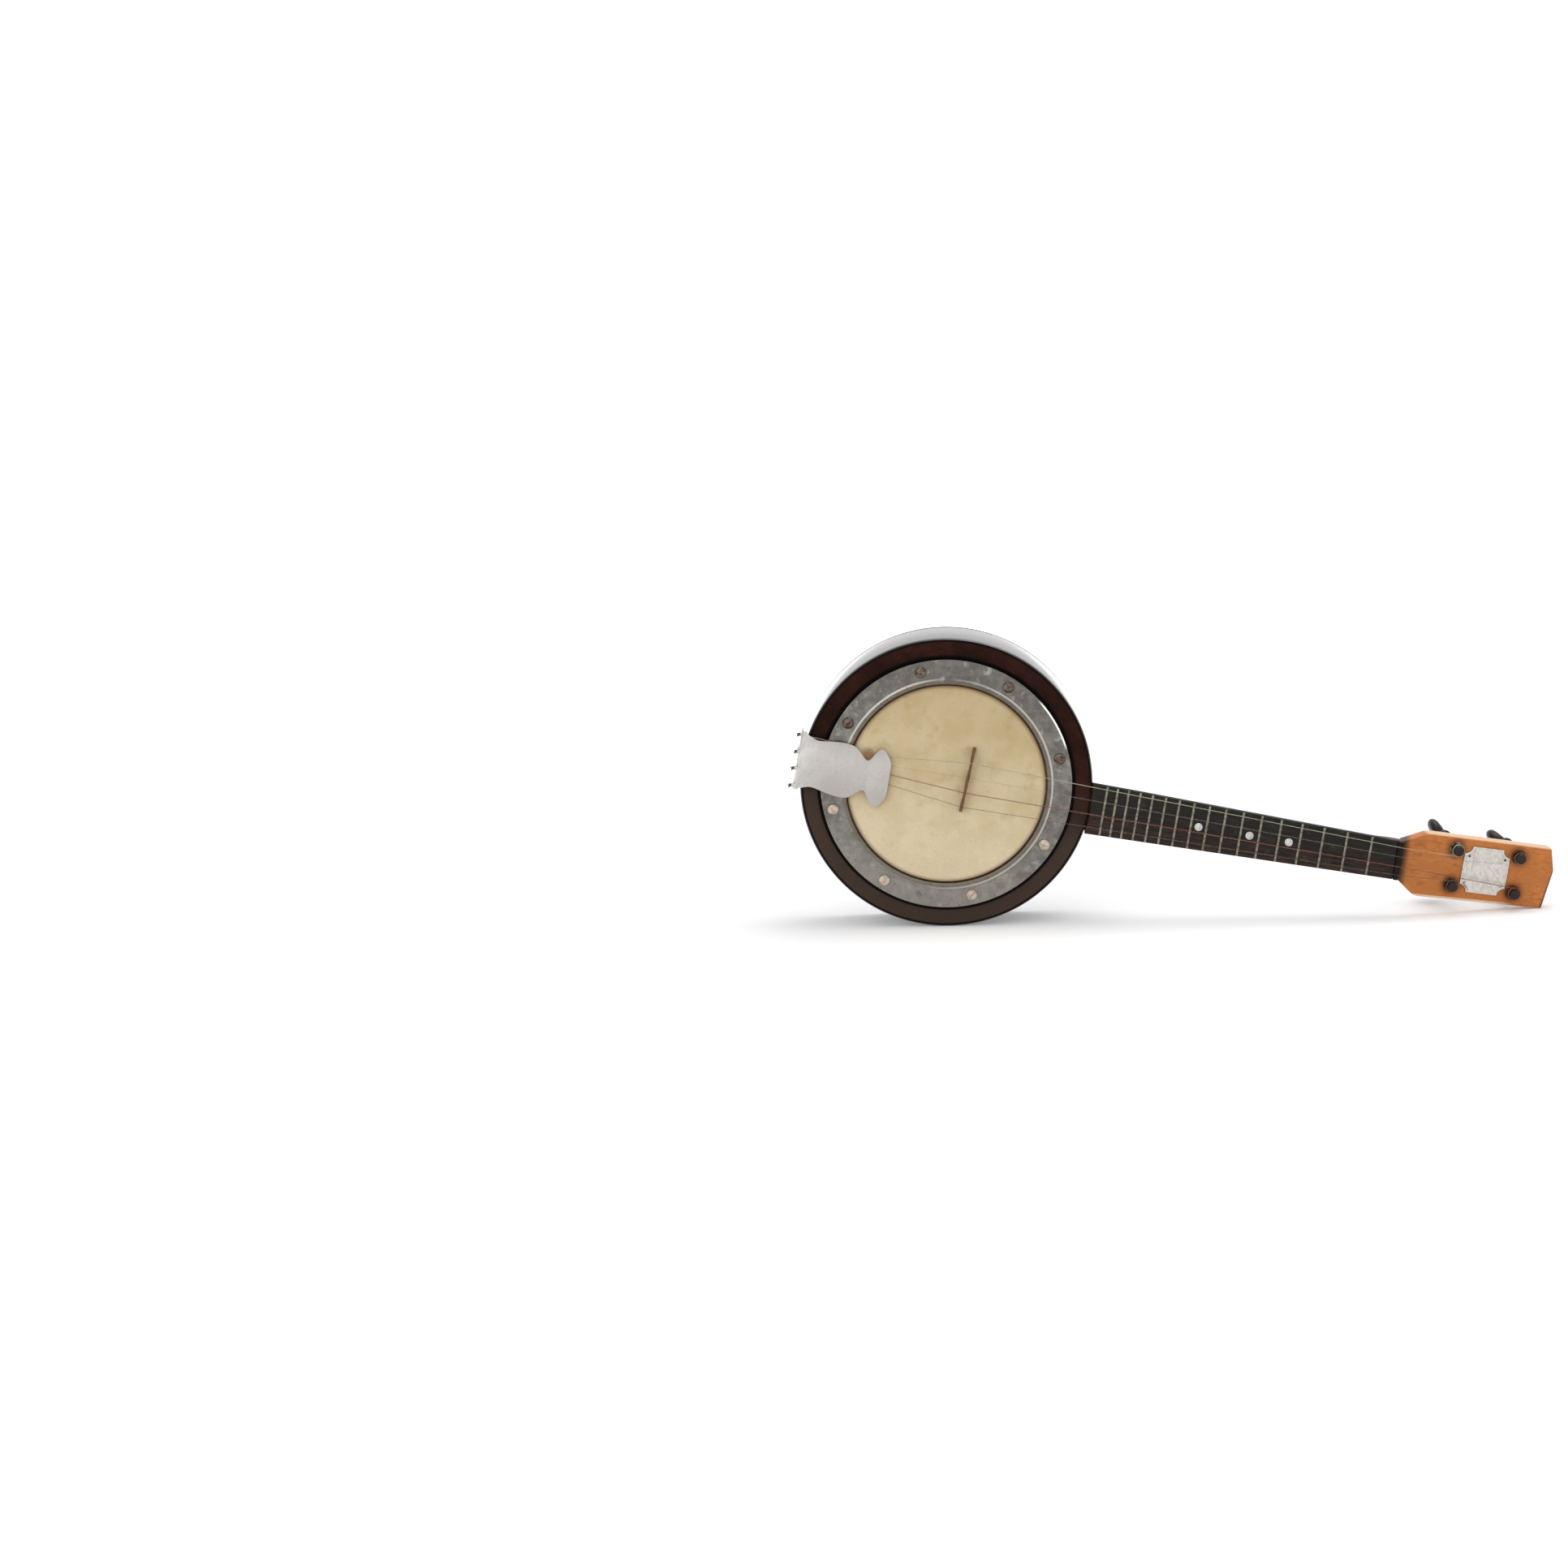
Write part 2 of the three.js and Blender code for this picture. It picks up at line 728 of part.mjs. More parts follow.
// The plate leans to one side towards its front
function tailOutline() {
  const places = (side) =>
    tailOutlineShares.map(([along, across]) => {
      const lean = along * tailLength * Math.tan(tailSkew);
      return new THREE.Vector2(
        -tailReach + along * tailLength, side * across * tailHalfWidth - lean,
      );
    });
  const upper = new THREE.SplineCurve(places(1)).getPoints(outlineSteps);
  const lower = new THREE.SplineCurve(places(-1)).getPoints(outlineSteps).reverse();
  return new THREE.Shape([...upper, ...lower]);
}

// The strap runs in from the foot of the skirt and then down the pot's side, drawn in X and Y
function tailStrap() {
  const foot = tailSkirt + strapDrop;
  const back = dowelMiddle + strapOverlap;
  const outline = new THREE.Shape();
  outline.moveTo(-tailReach, 0);
  outline.lineTo(-tailReach, tailSkirt);
  outline.lineTo(-strapRadius, foot);
  outline.lineTo(-strapRadius, back);
  outline.lineTo(-strapRadius + tailMetal, back);
  outline.lineTo(-strapRadius + tailMetal, foot);
  outline.lineTo(-tailReach + tailMetal, tailSkirt);
  outline.lineTo(-tailReach + tailMetal, 0);
  const geometry = new THREE.ExtrudeGeometry(outline, {
    depth: 2 * strapHalfWidth, bevelEnabled: false,
  });
  return geometry.translate(0, 0, -strapHalfWidth);
}

function tailpiece() {
  const front = -tailPlateFront;
  const flat = solidOf(slab(tailOutline(), front, -tailPlateBack));
  const skirtHalf = hookShares[0] * tailHalfWidth + hookWidth / 2 + skirtMargin;
  const skirtBack = -tailReach + tailMetal;
  const skirt = solidOf(block(-tailReach, skirtBack, front, tailSkirt, -skirtHalf, skirtHalf));
  const body = flat.add(skirt).add(solidOf(tailStrap()));
  const windows = hookShares.map((share) => tailWindow(share));
  const cleared = cut(body, [...windows, tailScrewHole(tailScrewShankRadius + seatGap)]);
  return hookShares.reduce((whole, share) => whole.add(solidOf(hook(share))), cleared);
}

// Where a string's hook leaves the rear edge of the tailpiece
function hookPlace(share) {
  return { x: -tailReach, z: share * tailHalfWidth };
}

// A tongue cut out of the skirt: it bends out behind and up in front, as a quarter ring
function hook(share) {
  const { x, z } = hookPlace(share);
  const root = x + tailMetal;
  const reach = hookReach + tailMetal;
  const inner = reach - hookMetal;
  const outline = new THREE.Shape();
  outline.moveTo(root, 0);
  outline.absarc(root, reach, reach, -Math.PI / 2, -Math.PI, true);
  outline.lineTo(root - reach, reach + hookRise);
  outline.lineTo(root - inner, reach + hookRise);
  outline.absarc(root, reach, inner, -Math.PI, -Math.PI / 2, false);
  const options = { depth: hookWidth, bevelEnabled: false, curveSegments: hookSteps };
  const geometry = new THREE.ExtrudeGeometry(outline, options);
  geometry.rotateX(Math.PI).translate(0, -tailPlateBack, z + hookWidth / 2);
  return geometry;
}

// The window that the tongue leaves, through which the string comes out
function tailWindow(share) {
  const { x, z } = hookPlace(share);
  const half = (hookWidth + windowMargin) / 2;
  const end = x + tailMetal + cutOverrun;
  return block(x - cutOverrun, end, -tailPlateBack, windowDepth, z - half, z + half);
}

function tailpieceScrew() {
  const length = tailMetal + potWall + tailScrewGrip;
  return domedScrew(
    tailScrewHeadRadius, tailScrewHeadHeight, tailScrewShankRadius, length, screwTip, screwSegments,
  );
}

// A peg along Y: the post in front of the headstock, the shaft through it, and behind it a bulb
// and the thumb-piece
function peg() {
  const tail = headThickness + pegShaftReach;
  const bulbHalf = pegBulbLength / 2;
  const bulb = corner([0, 0], 1, -60, 60, beadSteps).map(([out, along]) => [
    pegBulbRadius * out, tail - bulbHalf + bulbHalf * along,
  ]);
  const profile = [
    [0, -pegPostHeight],
    [pegPostRadius - pegPostDome, -pegPostHeight],
    [pegPostRadius, -pegPostHeight + pegPostDome],
    [pegPostRadius, 0],
    [pegTailRadius, headThickness],
    [pegTailRadius, headThickness + seatGap],
    [pegCollarRadius, headThickness + seatGap],
    [pegCollarRadius, headThickness + seatGap + pegCollarHeight],
    [pegTailRadius, headThickness + seatGap + pegCollarHeight],
    [pegPostRadius, tail - pegBulbLength],
    ...bulb,
    [0, tail],
  ];
  const thumb = new THREE.SphereGeometry(1, thumbSides, thumbBands);
  thumb.scale(thumbHalfWidth, thumbHalfHeight, thumbHalfThickness);
  thumb.translate(0, tail + thumbHalfHeight - thumbSink, 0);
  return turned(profile, pegSegments).add(solidOf(thumb));
}

function pegBushing() {
  const front = -seatGap - bushingHeight;
  const profile = [
    [bushingBore, -seatGap],
    [bushingBore, front],
    [bushingOuter, front],
    [bushingOuter, -seatGap],
  ];
  return turned(profile, pegSegments);
}

// A plain plate with scooped corners
function headstockPlate() {
  const near = plateMiddle - plateLength / 2;
  const far = plateMiddle + plateLength / 2;
  const outline = new THREE.Shape();
  outline.moveTo(near + plateScoop, -plateHalfWidth);
  outline.absarc(far, -plateHalfWidth, plateScoop, Math.PI, Math.PI / 2, true);
  outline.absarc(far, plateHalfWidth, plateScoop, -Math.PI / 2, -Math.PI, true);
  outline.absarc(near, plateHalfWidth, plateScoop, 0, -Math.PI / 2, true);
  outline.absarc(near, -plateHalfWidth, plateScoop, Math.PI / 2, 0, true);
  const plate = solidOf(slab(outline, -seatGap - plateThickness, -seatGap, 2 * cornerSteps));
  const holes = platePinPlaces.map(([x, z]) =>
    rod(pinShankRadius + inlayGap, -plateThickness - cutOverrun, cutOverrun, holeSegments, x, z),
  );
  return cut(plate, holes);
}

// A point given along, in front of and across the headstock, in the neck's own directions
function headPoint(along, height, across) {
  const x = bendPlace + along * Math.cos(headPitch) + height * Math.sin(headPitch);
  const y = along * Math.sin(headPitch) - height * Math.cos(headPitch);
  return new THREE.Vector3(x, y, across);
}

// The same the other way: how far along the headstock a point of the neck lies, and its height
function alongHead(point) {
  const x = point.x - bendPlace;
  return {
    along: x * Math.cos(headPitch) + point.y * Math.sin(headPitch),
    height: x * Math.sin(headPitch) - point.y * Math.cos(headPitch),
  };
}

// A string's turns round its peg post, from where it meets the post down towards the headstock
function winding(number, radius, from) {
  const [along, across] = pegPlaces[number];
  const side = Math.sign(across);
  const reach = pegPostRadius + seatGap + radius;
  const start = alongHead(from);
  const dx = start.along - along;
  const dz = side * (from.z - across);
  const meets = Math.atan2(dz, dx) + Math.acos(reach / Math.hypot(dx, dz));
  const steps = Math.round(windingTurns[number] * windingSteps);
  const pitch = 2 * radius + windingGap;
  const points = [];
  for (let step = 0; step <= steps; step += 1) {
    const angle = meets + (2 * Math.PI * step) / windingSteps;
    const height = windingTop - (pitch * step) / windingSteps;
    const z = across + side * reach * Math.sin(angle);
    points.push(headPoint(along + reach * Math.cos(angle), height, z));
  }
  return points;
}

// The way of one string: hook, front edge of the tailpiece, bridge, nut and peg
function stringRoute(number) {
  const radius = stringDiameters[number] / 2;
  const { x, z } = hookPlace(hookShares[number]);
  const under = -tailPlateBack + seatGap + radius;
  const frontEdge = -tailReach + tailLength;
  const behind = x - hookReach - seatGap - radius;
  const hookTop = -tailPlateBack - hookReach - tailMetal - hookRise;
  const alongBridge = bridgeNotchShares[number] * bridgeLength;
  const bridgeX = bridgeReach + alongBridge * Math.sin(bridgeSkew);
  const bridgeZ = bridgeShift + alongBridge * Math.cos(bridgeSkew);
  const atNut = nutNotchShares[number] * neckWidth(bendPlace);
  const pastNut = new THREE.Vector3(bendPlace + seatGap, -nutTop, atNut);
  return [
    new THREE.Vector3(behind, hookTop + hookTieDrop, z),
    new THREE.Vector3(behind, under - radius, z),
    new THREE.Vector3(behind + 2 * radius, under, z),
    new THREE.Vector3(frontEdge + seatGap, under, stringAtTail[number]),
    new THREE.Vector3(bridgeX, -bridgeTop, bridgeZ),
    pastNut,
    ...winding(number, radius, pastNut),
  ];
}

// A round tube along points, mitred at each bend
function tube(points, radius, sides) {
  const directions = points.map((point, i) => {
    const before = points[Math.max(0, i - 1)];
    const after = points[Math.min(points.length - 1, i + 1)];
    const into = point.clone().sub(before).normalize();
    const out = after.clone().sub(point).normalize();
    return into.add(out).normalize();
  });
  const across = new THREE.Vector3(0, 0, 1);
  const rings = points.map((point, i) => {
    across.addScaledVector(directions[i], -across.dot(directions[i])).normalize();
    const upward = new THREE.Vector3().crossVectors(directions[i], across);
    const ring = [];
    for (let side = 0; side < sides; side += 1) {
      const angle = (2 * Math.PI * side) / sides;
      const place = point.clone().addScaledVector(across, radius * Math.cos(angle));
      ring.push(place.addScaledVector(upward, radius * Math.sin(angle)));
    }
    return ring;
  });
  return skinned(rings);
}

// The least gap between turns of a winding, measured between points over half a turn apart
function leastGap(points, diameter) {
  let least = Infinity;
  for (let i = 0; i < points.length; i += 1) {
    for (let j = i + windingSteps / 2; j < points.length; j += 1) {
      least = Math.min(least, points[i].distanceTo(points[j]) - diameter);
    }
  }
  return least;
}

function string(number) {
  const route = stringRoute(number);
  const coil = route.slice(-Math.round(windingTurns[number] * windingSteps) - 1);
  const gap = leastGap(coil, stringDiameters[number]);
  console.log(`string ${number + 1}: turns on its peg are at least ${gap.toFixed(2)} mm apart`);
  return solidOf(tube(route, stringDiameters[number] / 2, stringSides));
}

// The instrument with its neck level
const instrument = new THREE.Group();

function place(mesh, x = 0, y = 0, z = 0) {
  mesh.position.set(x, y, z);
  instrument.add(mesh);
  return mesh;
}

place(piece('body_shell', bodyShell(), brownLacquer));
place(piece('pot_rim', potRim(), rimMaple));
place(piece('back_plate', backPlate(), brownLacquer));
place(piece('bearing_rim', bearingRim(), screwNickel));
place(piece('head_skin', headSkin(), vellum));
place(piece('flesh_hoop', fleshHoop(), screwNickel));
place(piece('tension_hoop', tensionHoop(), hoopNickel));
screwPlaces().forEach(([x, z], number) => {
  const screw = domedScrew(
    screwHeadRadius, screwHeadHeight, screwShankRadius, screwShankLength, screwTip, screwSegments,
  );
  place(piece(`hoop_screw_${number + 1}`, screw, screwNickel), x, -hoopTop - seatGap, z);
});
place(piece('dowel_stick', dowelStick(), rimMaple));
place(piece('neck', neck(), neckLacquer));
place(piece('fingerboard', fingerboard(), boardBlack));
for (let number = 1; number <= fretCount; number += 1) {
  place(piece(`fret_${number}`, fret(number), fretBrass));
}
dotFrets.forEach((number) => {
  place(piece(`position_dot_${number}`, positionDot(number), pearl));
});
place(piece('nut', nut(), ebony));
const bridgeFoot = -skinTop - seatGap;
const standing = place(piece('bridge', bridge(), bridgeWood), bridgeReach, bridgeFoot, bridgeShift);
standing.rotation.y = bridgeSkew;
place(piece('tailpiece', tailpiece(), brightNickel));
const tailScrew = place(
  piece('tailpiece_screw', tailpieceScrew(), screwNickel), -strapRadius - seatGap, dowelMiddle, 0,
);
tailScrew.rotation.z = -Math.PI / 2;
stringDiameters.forEach((diameter, number) => {
  place(piece(`string_${number + 1}`, string(number), gut));
});

// What sits on the headstock is drawn level and pitched back with it
const headstock = new THREE.Group();
headstock.position.set(bendPlace, 0, 0);
headstock.rotation.z = headPitch;
instrument.add(headstock);
pegPlaces.forEach(([x, z], number) => {
  const turner = piece(`peg_${number + 1}`, peg(), pegBlack);
  turner.position.set(x, 0, z);
  turner.rotation.y = THREE.MathUtils.degToRad(thumbTurns[number]);
  const bushing = piece(`peg_bushing_${number + 1}`, pegBushing(), screwNickel);
  bushing.position.set(x, 0, z);
  headstock.add(turner, bushing);
});
headstock.add(piece('headstock_plate', headstockPlate(), brightNickel));
platePinPlaces.forEach(([x, z], number) => {
  const pin = domedScrew(
    pinHeadRadius, pinHeadHeight, pinShankRadius, pinShankLength, pinHeadRadius, pinSegments,
  );
  const mesh = piece(`plate_pin_${number + 1}`, pin, screwNickel);
  mesh.position.set(x, -2 * seatGap - plateThickness, z);
  headstock.add(mesh);
});

// Turned so that the rim and the headstock's lower corner stand on the same level
const cornerReach = bendPlace + headLength * Math.cos(headPitch);
const cornerDistance = Math.hypot(cornerReach, headHalfWidth);
const restTilt = Math.asin(potRadius / cornerDistance) - Math.atan2(headHalfWidth, cornerReach);
instrument.rotation.y = restTilt;

// The origin is the middle of the bottom of the box round the whole
const banjoUkulele = new THREE.Group();
banjoUkulele.add(instrument);
const bounds = new THREE.Box3().setFromObject(banjoUkulele, true);
const middle = bounds.getCenter(new THREE.Vector3());
instrument.position.set(-middle.x, -middle.y, -bounds.min.z);

export default banjoUkulele;
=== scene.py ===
# %% [markdown]
# # A banjo ukulele, dressed in Blender
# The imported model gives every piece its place, but its edges are sharp and its faces plain. This
# lesson gives the pieces their curves, edges and finishes: a lacquered pot, a nickelled hoop, a
# skin head and a stained neck. All of it could be modelled afresh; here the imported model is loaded
# first and stays fixed, so that each new piece can be held against the one that it replaces.

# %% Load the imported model
import json
from math import acos, asin, atan2, cos, hypot, pi, radians, sin, sqrt

import bmesh
import bpy
from mathutils import Matrix, Vector
from mathutils.geometry import interpolate_bezier


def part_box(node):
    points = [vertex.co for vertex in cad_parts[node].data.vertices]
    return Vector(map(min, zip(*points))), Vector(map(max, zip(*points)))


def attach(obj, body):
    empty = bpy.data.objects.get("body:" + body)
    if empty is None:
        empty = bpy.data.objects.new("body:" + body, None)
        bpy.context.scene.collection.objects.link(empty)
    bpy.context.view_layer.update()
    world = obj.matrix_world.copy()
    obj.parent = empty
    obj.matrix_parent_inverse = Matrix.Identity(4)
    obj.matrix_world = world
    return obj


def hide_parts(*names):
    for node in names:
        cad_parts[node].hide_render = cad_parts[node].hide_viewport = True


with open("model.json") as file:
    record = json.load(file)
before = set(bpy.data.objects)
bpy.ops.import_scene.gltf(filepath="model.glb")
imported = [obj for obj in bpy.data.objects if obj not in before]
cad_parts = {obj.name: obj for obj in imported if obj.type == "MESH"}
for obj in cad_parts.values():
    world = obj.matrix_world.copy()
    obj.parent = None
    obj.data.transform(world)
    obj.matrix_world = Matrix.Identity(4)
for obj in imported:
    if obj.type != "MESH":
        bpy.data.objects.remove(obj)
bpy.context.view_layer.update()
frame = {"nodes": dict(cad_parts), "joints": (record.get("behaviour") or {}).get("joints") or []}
scene = bpy.context.scene

# %% [markdown]
# The instrument was drawn with its neck level and then turned until pot and headstock both touch
# the table. Each piece could be drawn in its tilted place, but level is easier, in millimetres: X
# runs to the headstock, Y from front to back and Z across. One matrix takes every piece to its
# place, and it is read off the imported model: the pegs' axis gives the turn, and the round back
# gives the middle of the pot. Pieces that sit on or in each other keep a small gap between them.

# %% Where the instrument stands
MILLIMETRE = 0.001
pot_depth = 55
seat_gap = 0.3
peg_axis = Vector(frame["joints"][0]["axis"])
rest_tilt = atan2(peg_axis.z, -peg_axis.x)
head_pitch = asin(hypot(peg_axis.x, peg_axis.z))
back_low, back_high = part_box("back_plate")
pot_middle = (back_low + back_high) / 2
pot_middle.y = back_high.y - pot_depth * MILLIMETRE
at_rest = (
    Matrix.Translation(pot_middle)
    @ Matrix.Rotation(rest_tilt, 4, "Y")
    @ Matrix.Scale(MILLIMETRE, 4)
)
print("tilt", round(rest_tilt * 180 / pi, 2), "pitch", round(head_pitch * 180 / pi, 2))

# %% [markdown]
# The camera stands far away with a long lens, slightly above the instrument, as the nearly
# parallel edges of the neck and the flat oval of the hoop show. A camera without perspective would
# nearly do, but a long lens keeps what little there is. Its turn, height and roll were fitted to
# the frets, the hoop and the corners of the headstock.

# %% Camera
view_turn = radians(0.85)
view_height = radians(10.7)
view_roll = radians(-1.33)
view_distance = 8
view_shift = Vector((-0.11745, 0, 0.0021))
view_target = pot_middle + view_shift
lens_pixels = 13615
image_pixels = 1932
sensor_width = 36

looking = Vector((
    -sin(view_turn) * cos(view_height), cos(view_turn) * cos(view_height), -sin(view_height)
))
level = Vector((cos(view_turn), sin(view_turn), 0))
upward = level.cross(looking)
right = cos(view_roll) * level + sin(view_roll) * upward
upward = right.cross(looking)
camera = bpy.data.objects.new("camera", bpy.data.cameras.new("camera"))
camera.data.lens = lens_pixels / image_pixels * sensor_width
camera.data.sensor_width = sensor_width
camera.data.clip_end = 200
camera.matrix_world = Matrix.Translation(view_target - view_distance * looking) @ Matrix((
    (right.x, upward.x, -looking.x, 0),
    (right.y, upward.y, -looking.y, 0),
    (right.z, upward.z, -looking.z, 0),
    (0, 0, 0, 1),
))
scene.collection.objects.link(camera)
scene.camera = camera
print("lens", round(camera.data.lens, 1), "mm, at", [round(v, 2) for v in camera.location])

# %% [markdown]
# Colours are written as sRGB hex values, because that is how they are read off a picture, and
# Blender's shaders want them linear. Nodes could be added and linked a line at a time, but then a
# finish fills a page. So one small helper adds any node with its settings and its links, and each
# finish below reads as a short list.

# %% Helpers for finishes
def linear(code):
    """A hex colour such as c0ffee as the linear colour that shaders use."""
    parts = [int(code[i:i + 2], 16) / 255 for i in (0, 2, 4)]
    steps = [p / 12.92 if p <= 0.04045 else ((p + 0.055) / 1.055) ** 2.4 for p in parts]
    return (*steps, 1)


def add(tree, kind, inputs=None, **settings):
    """Adds a node. An input is linked to a socket or node, or set to a hex colour or number."""
    made = tree.nodes.new(kind)
    for name, value in settings.items():
        setattr(made, name, value)
    for socket, value in (inputs or {}).items():
        if isinstance(value, bpy.types.Node):
            value = next(output for output in value.outputs if output.enabled)
        if isinstance(value, str):
            value = linear(value)
        if isinstance(value, bpy.types.NodeSocket):
            tree.links.new(value, made.inputs[socket])
        else:
            made.inputs[socket].default_value = value
    return made


def new_finish(name, **settings):
    """A material with its Principled shader's plain settings, and where its patterns start."""
    material = bpy.data.materials.new(name)
    material.use_nodes = True
    tree = material.node_tree
    shader = tree.nodes["Principled BSDF"]
    for socket, value in settings.items():
        shader.inputs[socket.replace("_", " ")].default_value = value
    place = add(tree, "ShaderNodeTexCoord").outputs["Object"]
    turn = {"Location": pot_middle, "Rotation": (0, rest_tilt, 0), "Scale": [MILLIMETRE] * 3}
    level_mm = add(tree, "ShaderNodeMapping", {"Vector": place, **turn}, vector_type="TEXTURE")
    return material, tree, shader, level_mm.outputs[0]


print("white is", linear("ffffff")[:3])

# %% [markdown]
# The studio is plain, and it starts with a wide floor of matt white paper that keeps the soft
# shadow. A photographer would bend such paper up behind the instrument. Here it stays flat and
# glows where it is far away, which lets it run into white without a fold. Only the camera, mirrors
# and glass see the glow, so it sheds no light on the instrument.

# %% Studio floor
floor_half = 60
glow_start = 0.3
glow_end = 1.4
least_glow = 0.2


def seen_straight(tree):
    """1 for a ray from the camera, a mirror or glass, and 0 for a ray that gathers light."""
    rays = add(tree, "ShaderNodeLightPath")
    seen = rays.outputs["Is Camera Ray"]
    for ray in ("Is Glossy Ray", "Is Transmission Ray"):
        seen = add(tree, "ShaderNodeMath", {0: seen, 1: rays.outputs[ray]}, operation="MAXIMUM")
    return seen


floor_mesh = bmesh.new()
bmesh.ops.create_grid(floor_mesh, x_segments=1, y_segments=1, size=floor_half)
floor_data = bpy.data.meshes.new("floor")
floor_mesh.to_mesh(floor_data)
floor_mesh.free()
floor = bpy.data.objects.new("floor", floor_data)
scene.collection.objects.link(floor)

paper = bpy.data.materials.new("matt_white_paper")
paper.use_nodes = True
tree = paper.node_tree
tree.nodes.clear()
away = add(tree, "ShaderNodeVectorMath", {
    0: add(tree, "ShaderNodeTexCoord").outputs["Object"],
}, operation="LENGTH")
lift = add(tree, "ShaderNodeMapRange", {
    "Value": away.outputs["Value"], "From Min": glow_start, "From Max": glow_end,
    "To Min": least_glow, "To Max": 1.0,
}, interpolation_type="SMOOTHSTEP")
glow = add(tree, "ShaderNodeMath", {0: seen_straight(tree), 1: lift}, operation="MULTIPLY")
matt = add(tree, "ShaderNodeBsdfDiffuse", {"Color": "f4f4f4"})
shine = add(tree, "ShaderNodeEmission", {"Color": "ffffff", "Strength": glow})
both = add(tree, "ShaderNodeAddShader", {0: matt, 1: shine})
add(tree, "ShaderNodeOutputMaterial", {"Surface": both})
floor_data.materials.append(paper)
print("a floor of", 2 * floor_half, "m")

# %% [markdown]
# Round the floor lies an even white. A picture of a room would give livelier reflections, but an
# even surround leaves the lacquer and the metal their own colours. It is pure white to the eye and
# somewhat dimmer where it lights the instrument. Two large lamps give soft shadows: one above and
# a little behind, and one in front at the left.

# %% Surround and lamps
room_level = 0.7
world = bpy.data.worlds.new("white_surround")
scene.world = world
world.use_nodes = True
tree = world.node_tree
tree.nodes.clear()
level_of_light = add(tree, "ShaderNodeMapRange", {
    "Value": seen_straight(tree), "To Min": room_level, "To Max": 1.0,
})
sky = add(tree, "ShaderNodeBackground", {"Color": "ffffff", "Strength": level_of_light})
add(tree, "ShaderNodeOutputWorld", {"Surface": sky})


def soft_lamp(name, place, aim, size, watts):
    """A square lamp at a place, some metres across and facing another place."""
    lamp = bpy.data.objects.new(name, bpy.data.lights.new(name, "AREA"))
    lamp.data.size = size
    lamp.data.energy = watts
    place, aim = Vector(place), Vector(aim)
    turn = (aim - place).to_track_quat("-Z", "Y").to_matrix().to_4x4()
    lamp.matrix_world = Matrix.Translation(place) @ turn
    scene.collection.objects.link(lamp)


soft_lamp("lamp_above", (0.3, 0.2, 2.0), (-0.05, 0, 0.05), size=1.4, watts=15)
soft_lamp("lamp_in_front", (-1.3, -2.2, 1.5), (-0.05, 0, 0.1), size=1.6, watts=8)
scene.view_settings.view_transform = "Standard"
print("studio of", len(bpy.data.lights), "lamps")

# %% [markdown]
# Old finishes are never even. They could be painted on, but painting needs a flat layout of every
# piece. Soft noise needs none: it is sized in millimetres, stretched along the grain or round the
# pot, and gives the patches that every finish below is mixed from. Wear and dirt also keep to
# zones. A zone says where a share is 0 and where it is 1, as a distance or a height in
# millimetres, and shares are multiplied to keep one inside another.

# %% Helpers for patches and zones
def patches(tree, place, size, stretch=(1, 1, 1), low=0.4, high=0.6, detail=3, apart=0):
    """Soft patches from 0 to 1, about size mm across and stretched in X, Y and Z."""
    scaled = add(tree, "ShaderNodeMapping", {
        "Vector": place, "Location": [apart] * 3, "Scale": [1 / (size * s) for s in stretch],
    })
    noise = add(tree, "ShaderNodeTexNoise", {
        "Vector": scaled, "Scale": 1, "Detail": detail, "Roughness": 0.55,
    })
    return add(tree, "ShaderNodeMapRange", {
        "Value": noise.outputs[0], "From Min": low, "From Max": high,
    }, interpolation_type="SMOOTHSTEP")


def from_axis(tree, place, x=0, z=0):
    """The distance in millimetres from a line along Y, which is the pot's axis if not told."""
    moved = add(tree, "ShaderNodeVectorMath", {0: place, 1: (x, 0, z)}, operation="SUBTRACT")
    flat = add(tree, "ShaderNodeVectorMath", {0: moved, 1: (1, 0, 1)}, operation="MULTIPLY")
    return add(tree, "ShaderNodeVectorMath", {0: flat}, operation="LENGTH").outputs["Value"]


def share_of(tree, *parts):
    """Multiplies nodes, numbers and zones, written (value, where it is 0, where it is 1)."""
    product = None
    for part in parts:
        if isinstance(part, tuple):
            value, start, end = part
            part = add(tree, "ShaderNodeMapRange", {
                "Value": value, "From Min": start, "From Max": end,
            }, interpolation_type="SMOOTHSTEP")
        if product is None:
            product = part
        else:
            product = add(tree, "ShaderNodeMath", {0: product, 1: part}, operation="MULTIPLY")
    return product


def toward(tree, place, degrees, narrow, wide):
    """A share that is 1 within narrow degrees of a direction from the pot's axis, 0 past wide."""
    way = (cos(radians(degrees)), 0, sin(radians(degrees)))
    along = add(tree, "ShaderNodeVectorMath", {0: place, 1: way}, operation="DOT_PRODUCT")
    cosine = add(tree, "ShaderNodeMath", {
        0: along.outputs["Value"], 1: from_axis(tree, place),
    }, operation="DIVIDE")
    return share_of(tree, (cosine, cos(radians(wide)), cos(radians(narrow))))


def colour_with(tree, shader, colours, relief=None):
    """Lays colours over the first one, each by its share or by a list of parts for share_of.

    A relief is a height between 0 and 1, its depth in millimetres and its strength.
    """
    last = colours[0]
    for share, colour in colours[1:]:
        if isinstance(share, list):
            share = share_of(tree, *share)
        last = add(tree, "ShaderNodeMix", {0: share, 6: last, 7: colour}, data_type="RGBA")
    tree.links.new(last.outputs[2], shader.inputs["Base Color"])
    if relief:
        height, depth, strength = relief
        bump = add(tree, "ShaderNodeBump", {
            "Height": height, "Strength": strength, "Distance": depth * MILLIMETRE,
        })
        tree.links.new(bump.outputs[0], shader.inputs["Normal"])


print("patches and zones are ready")

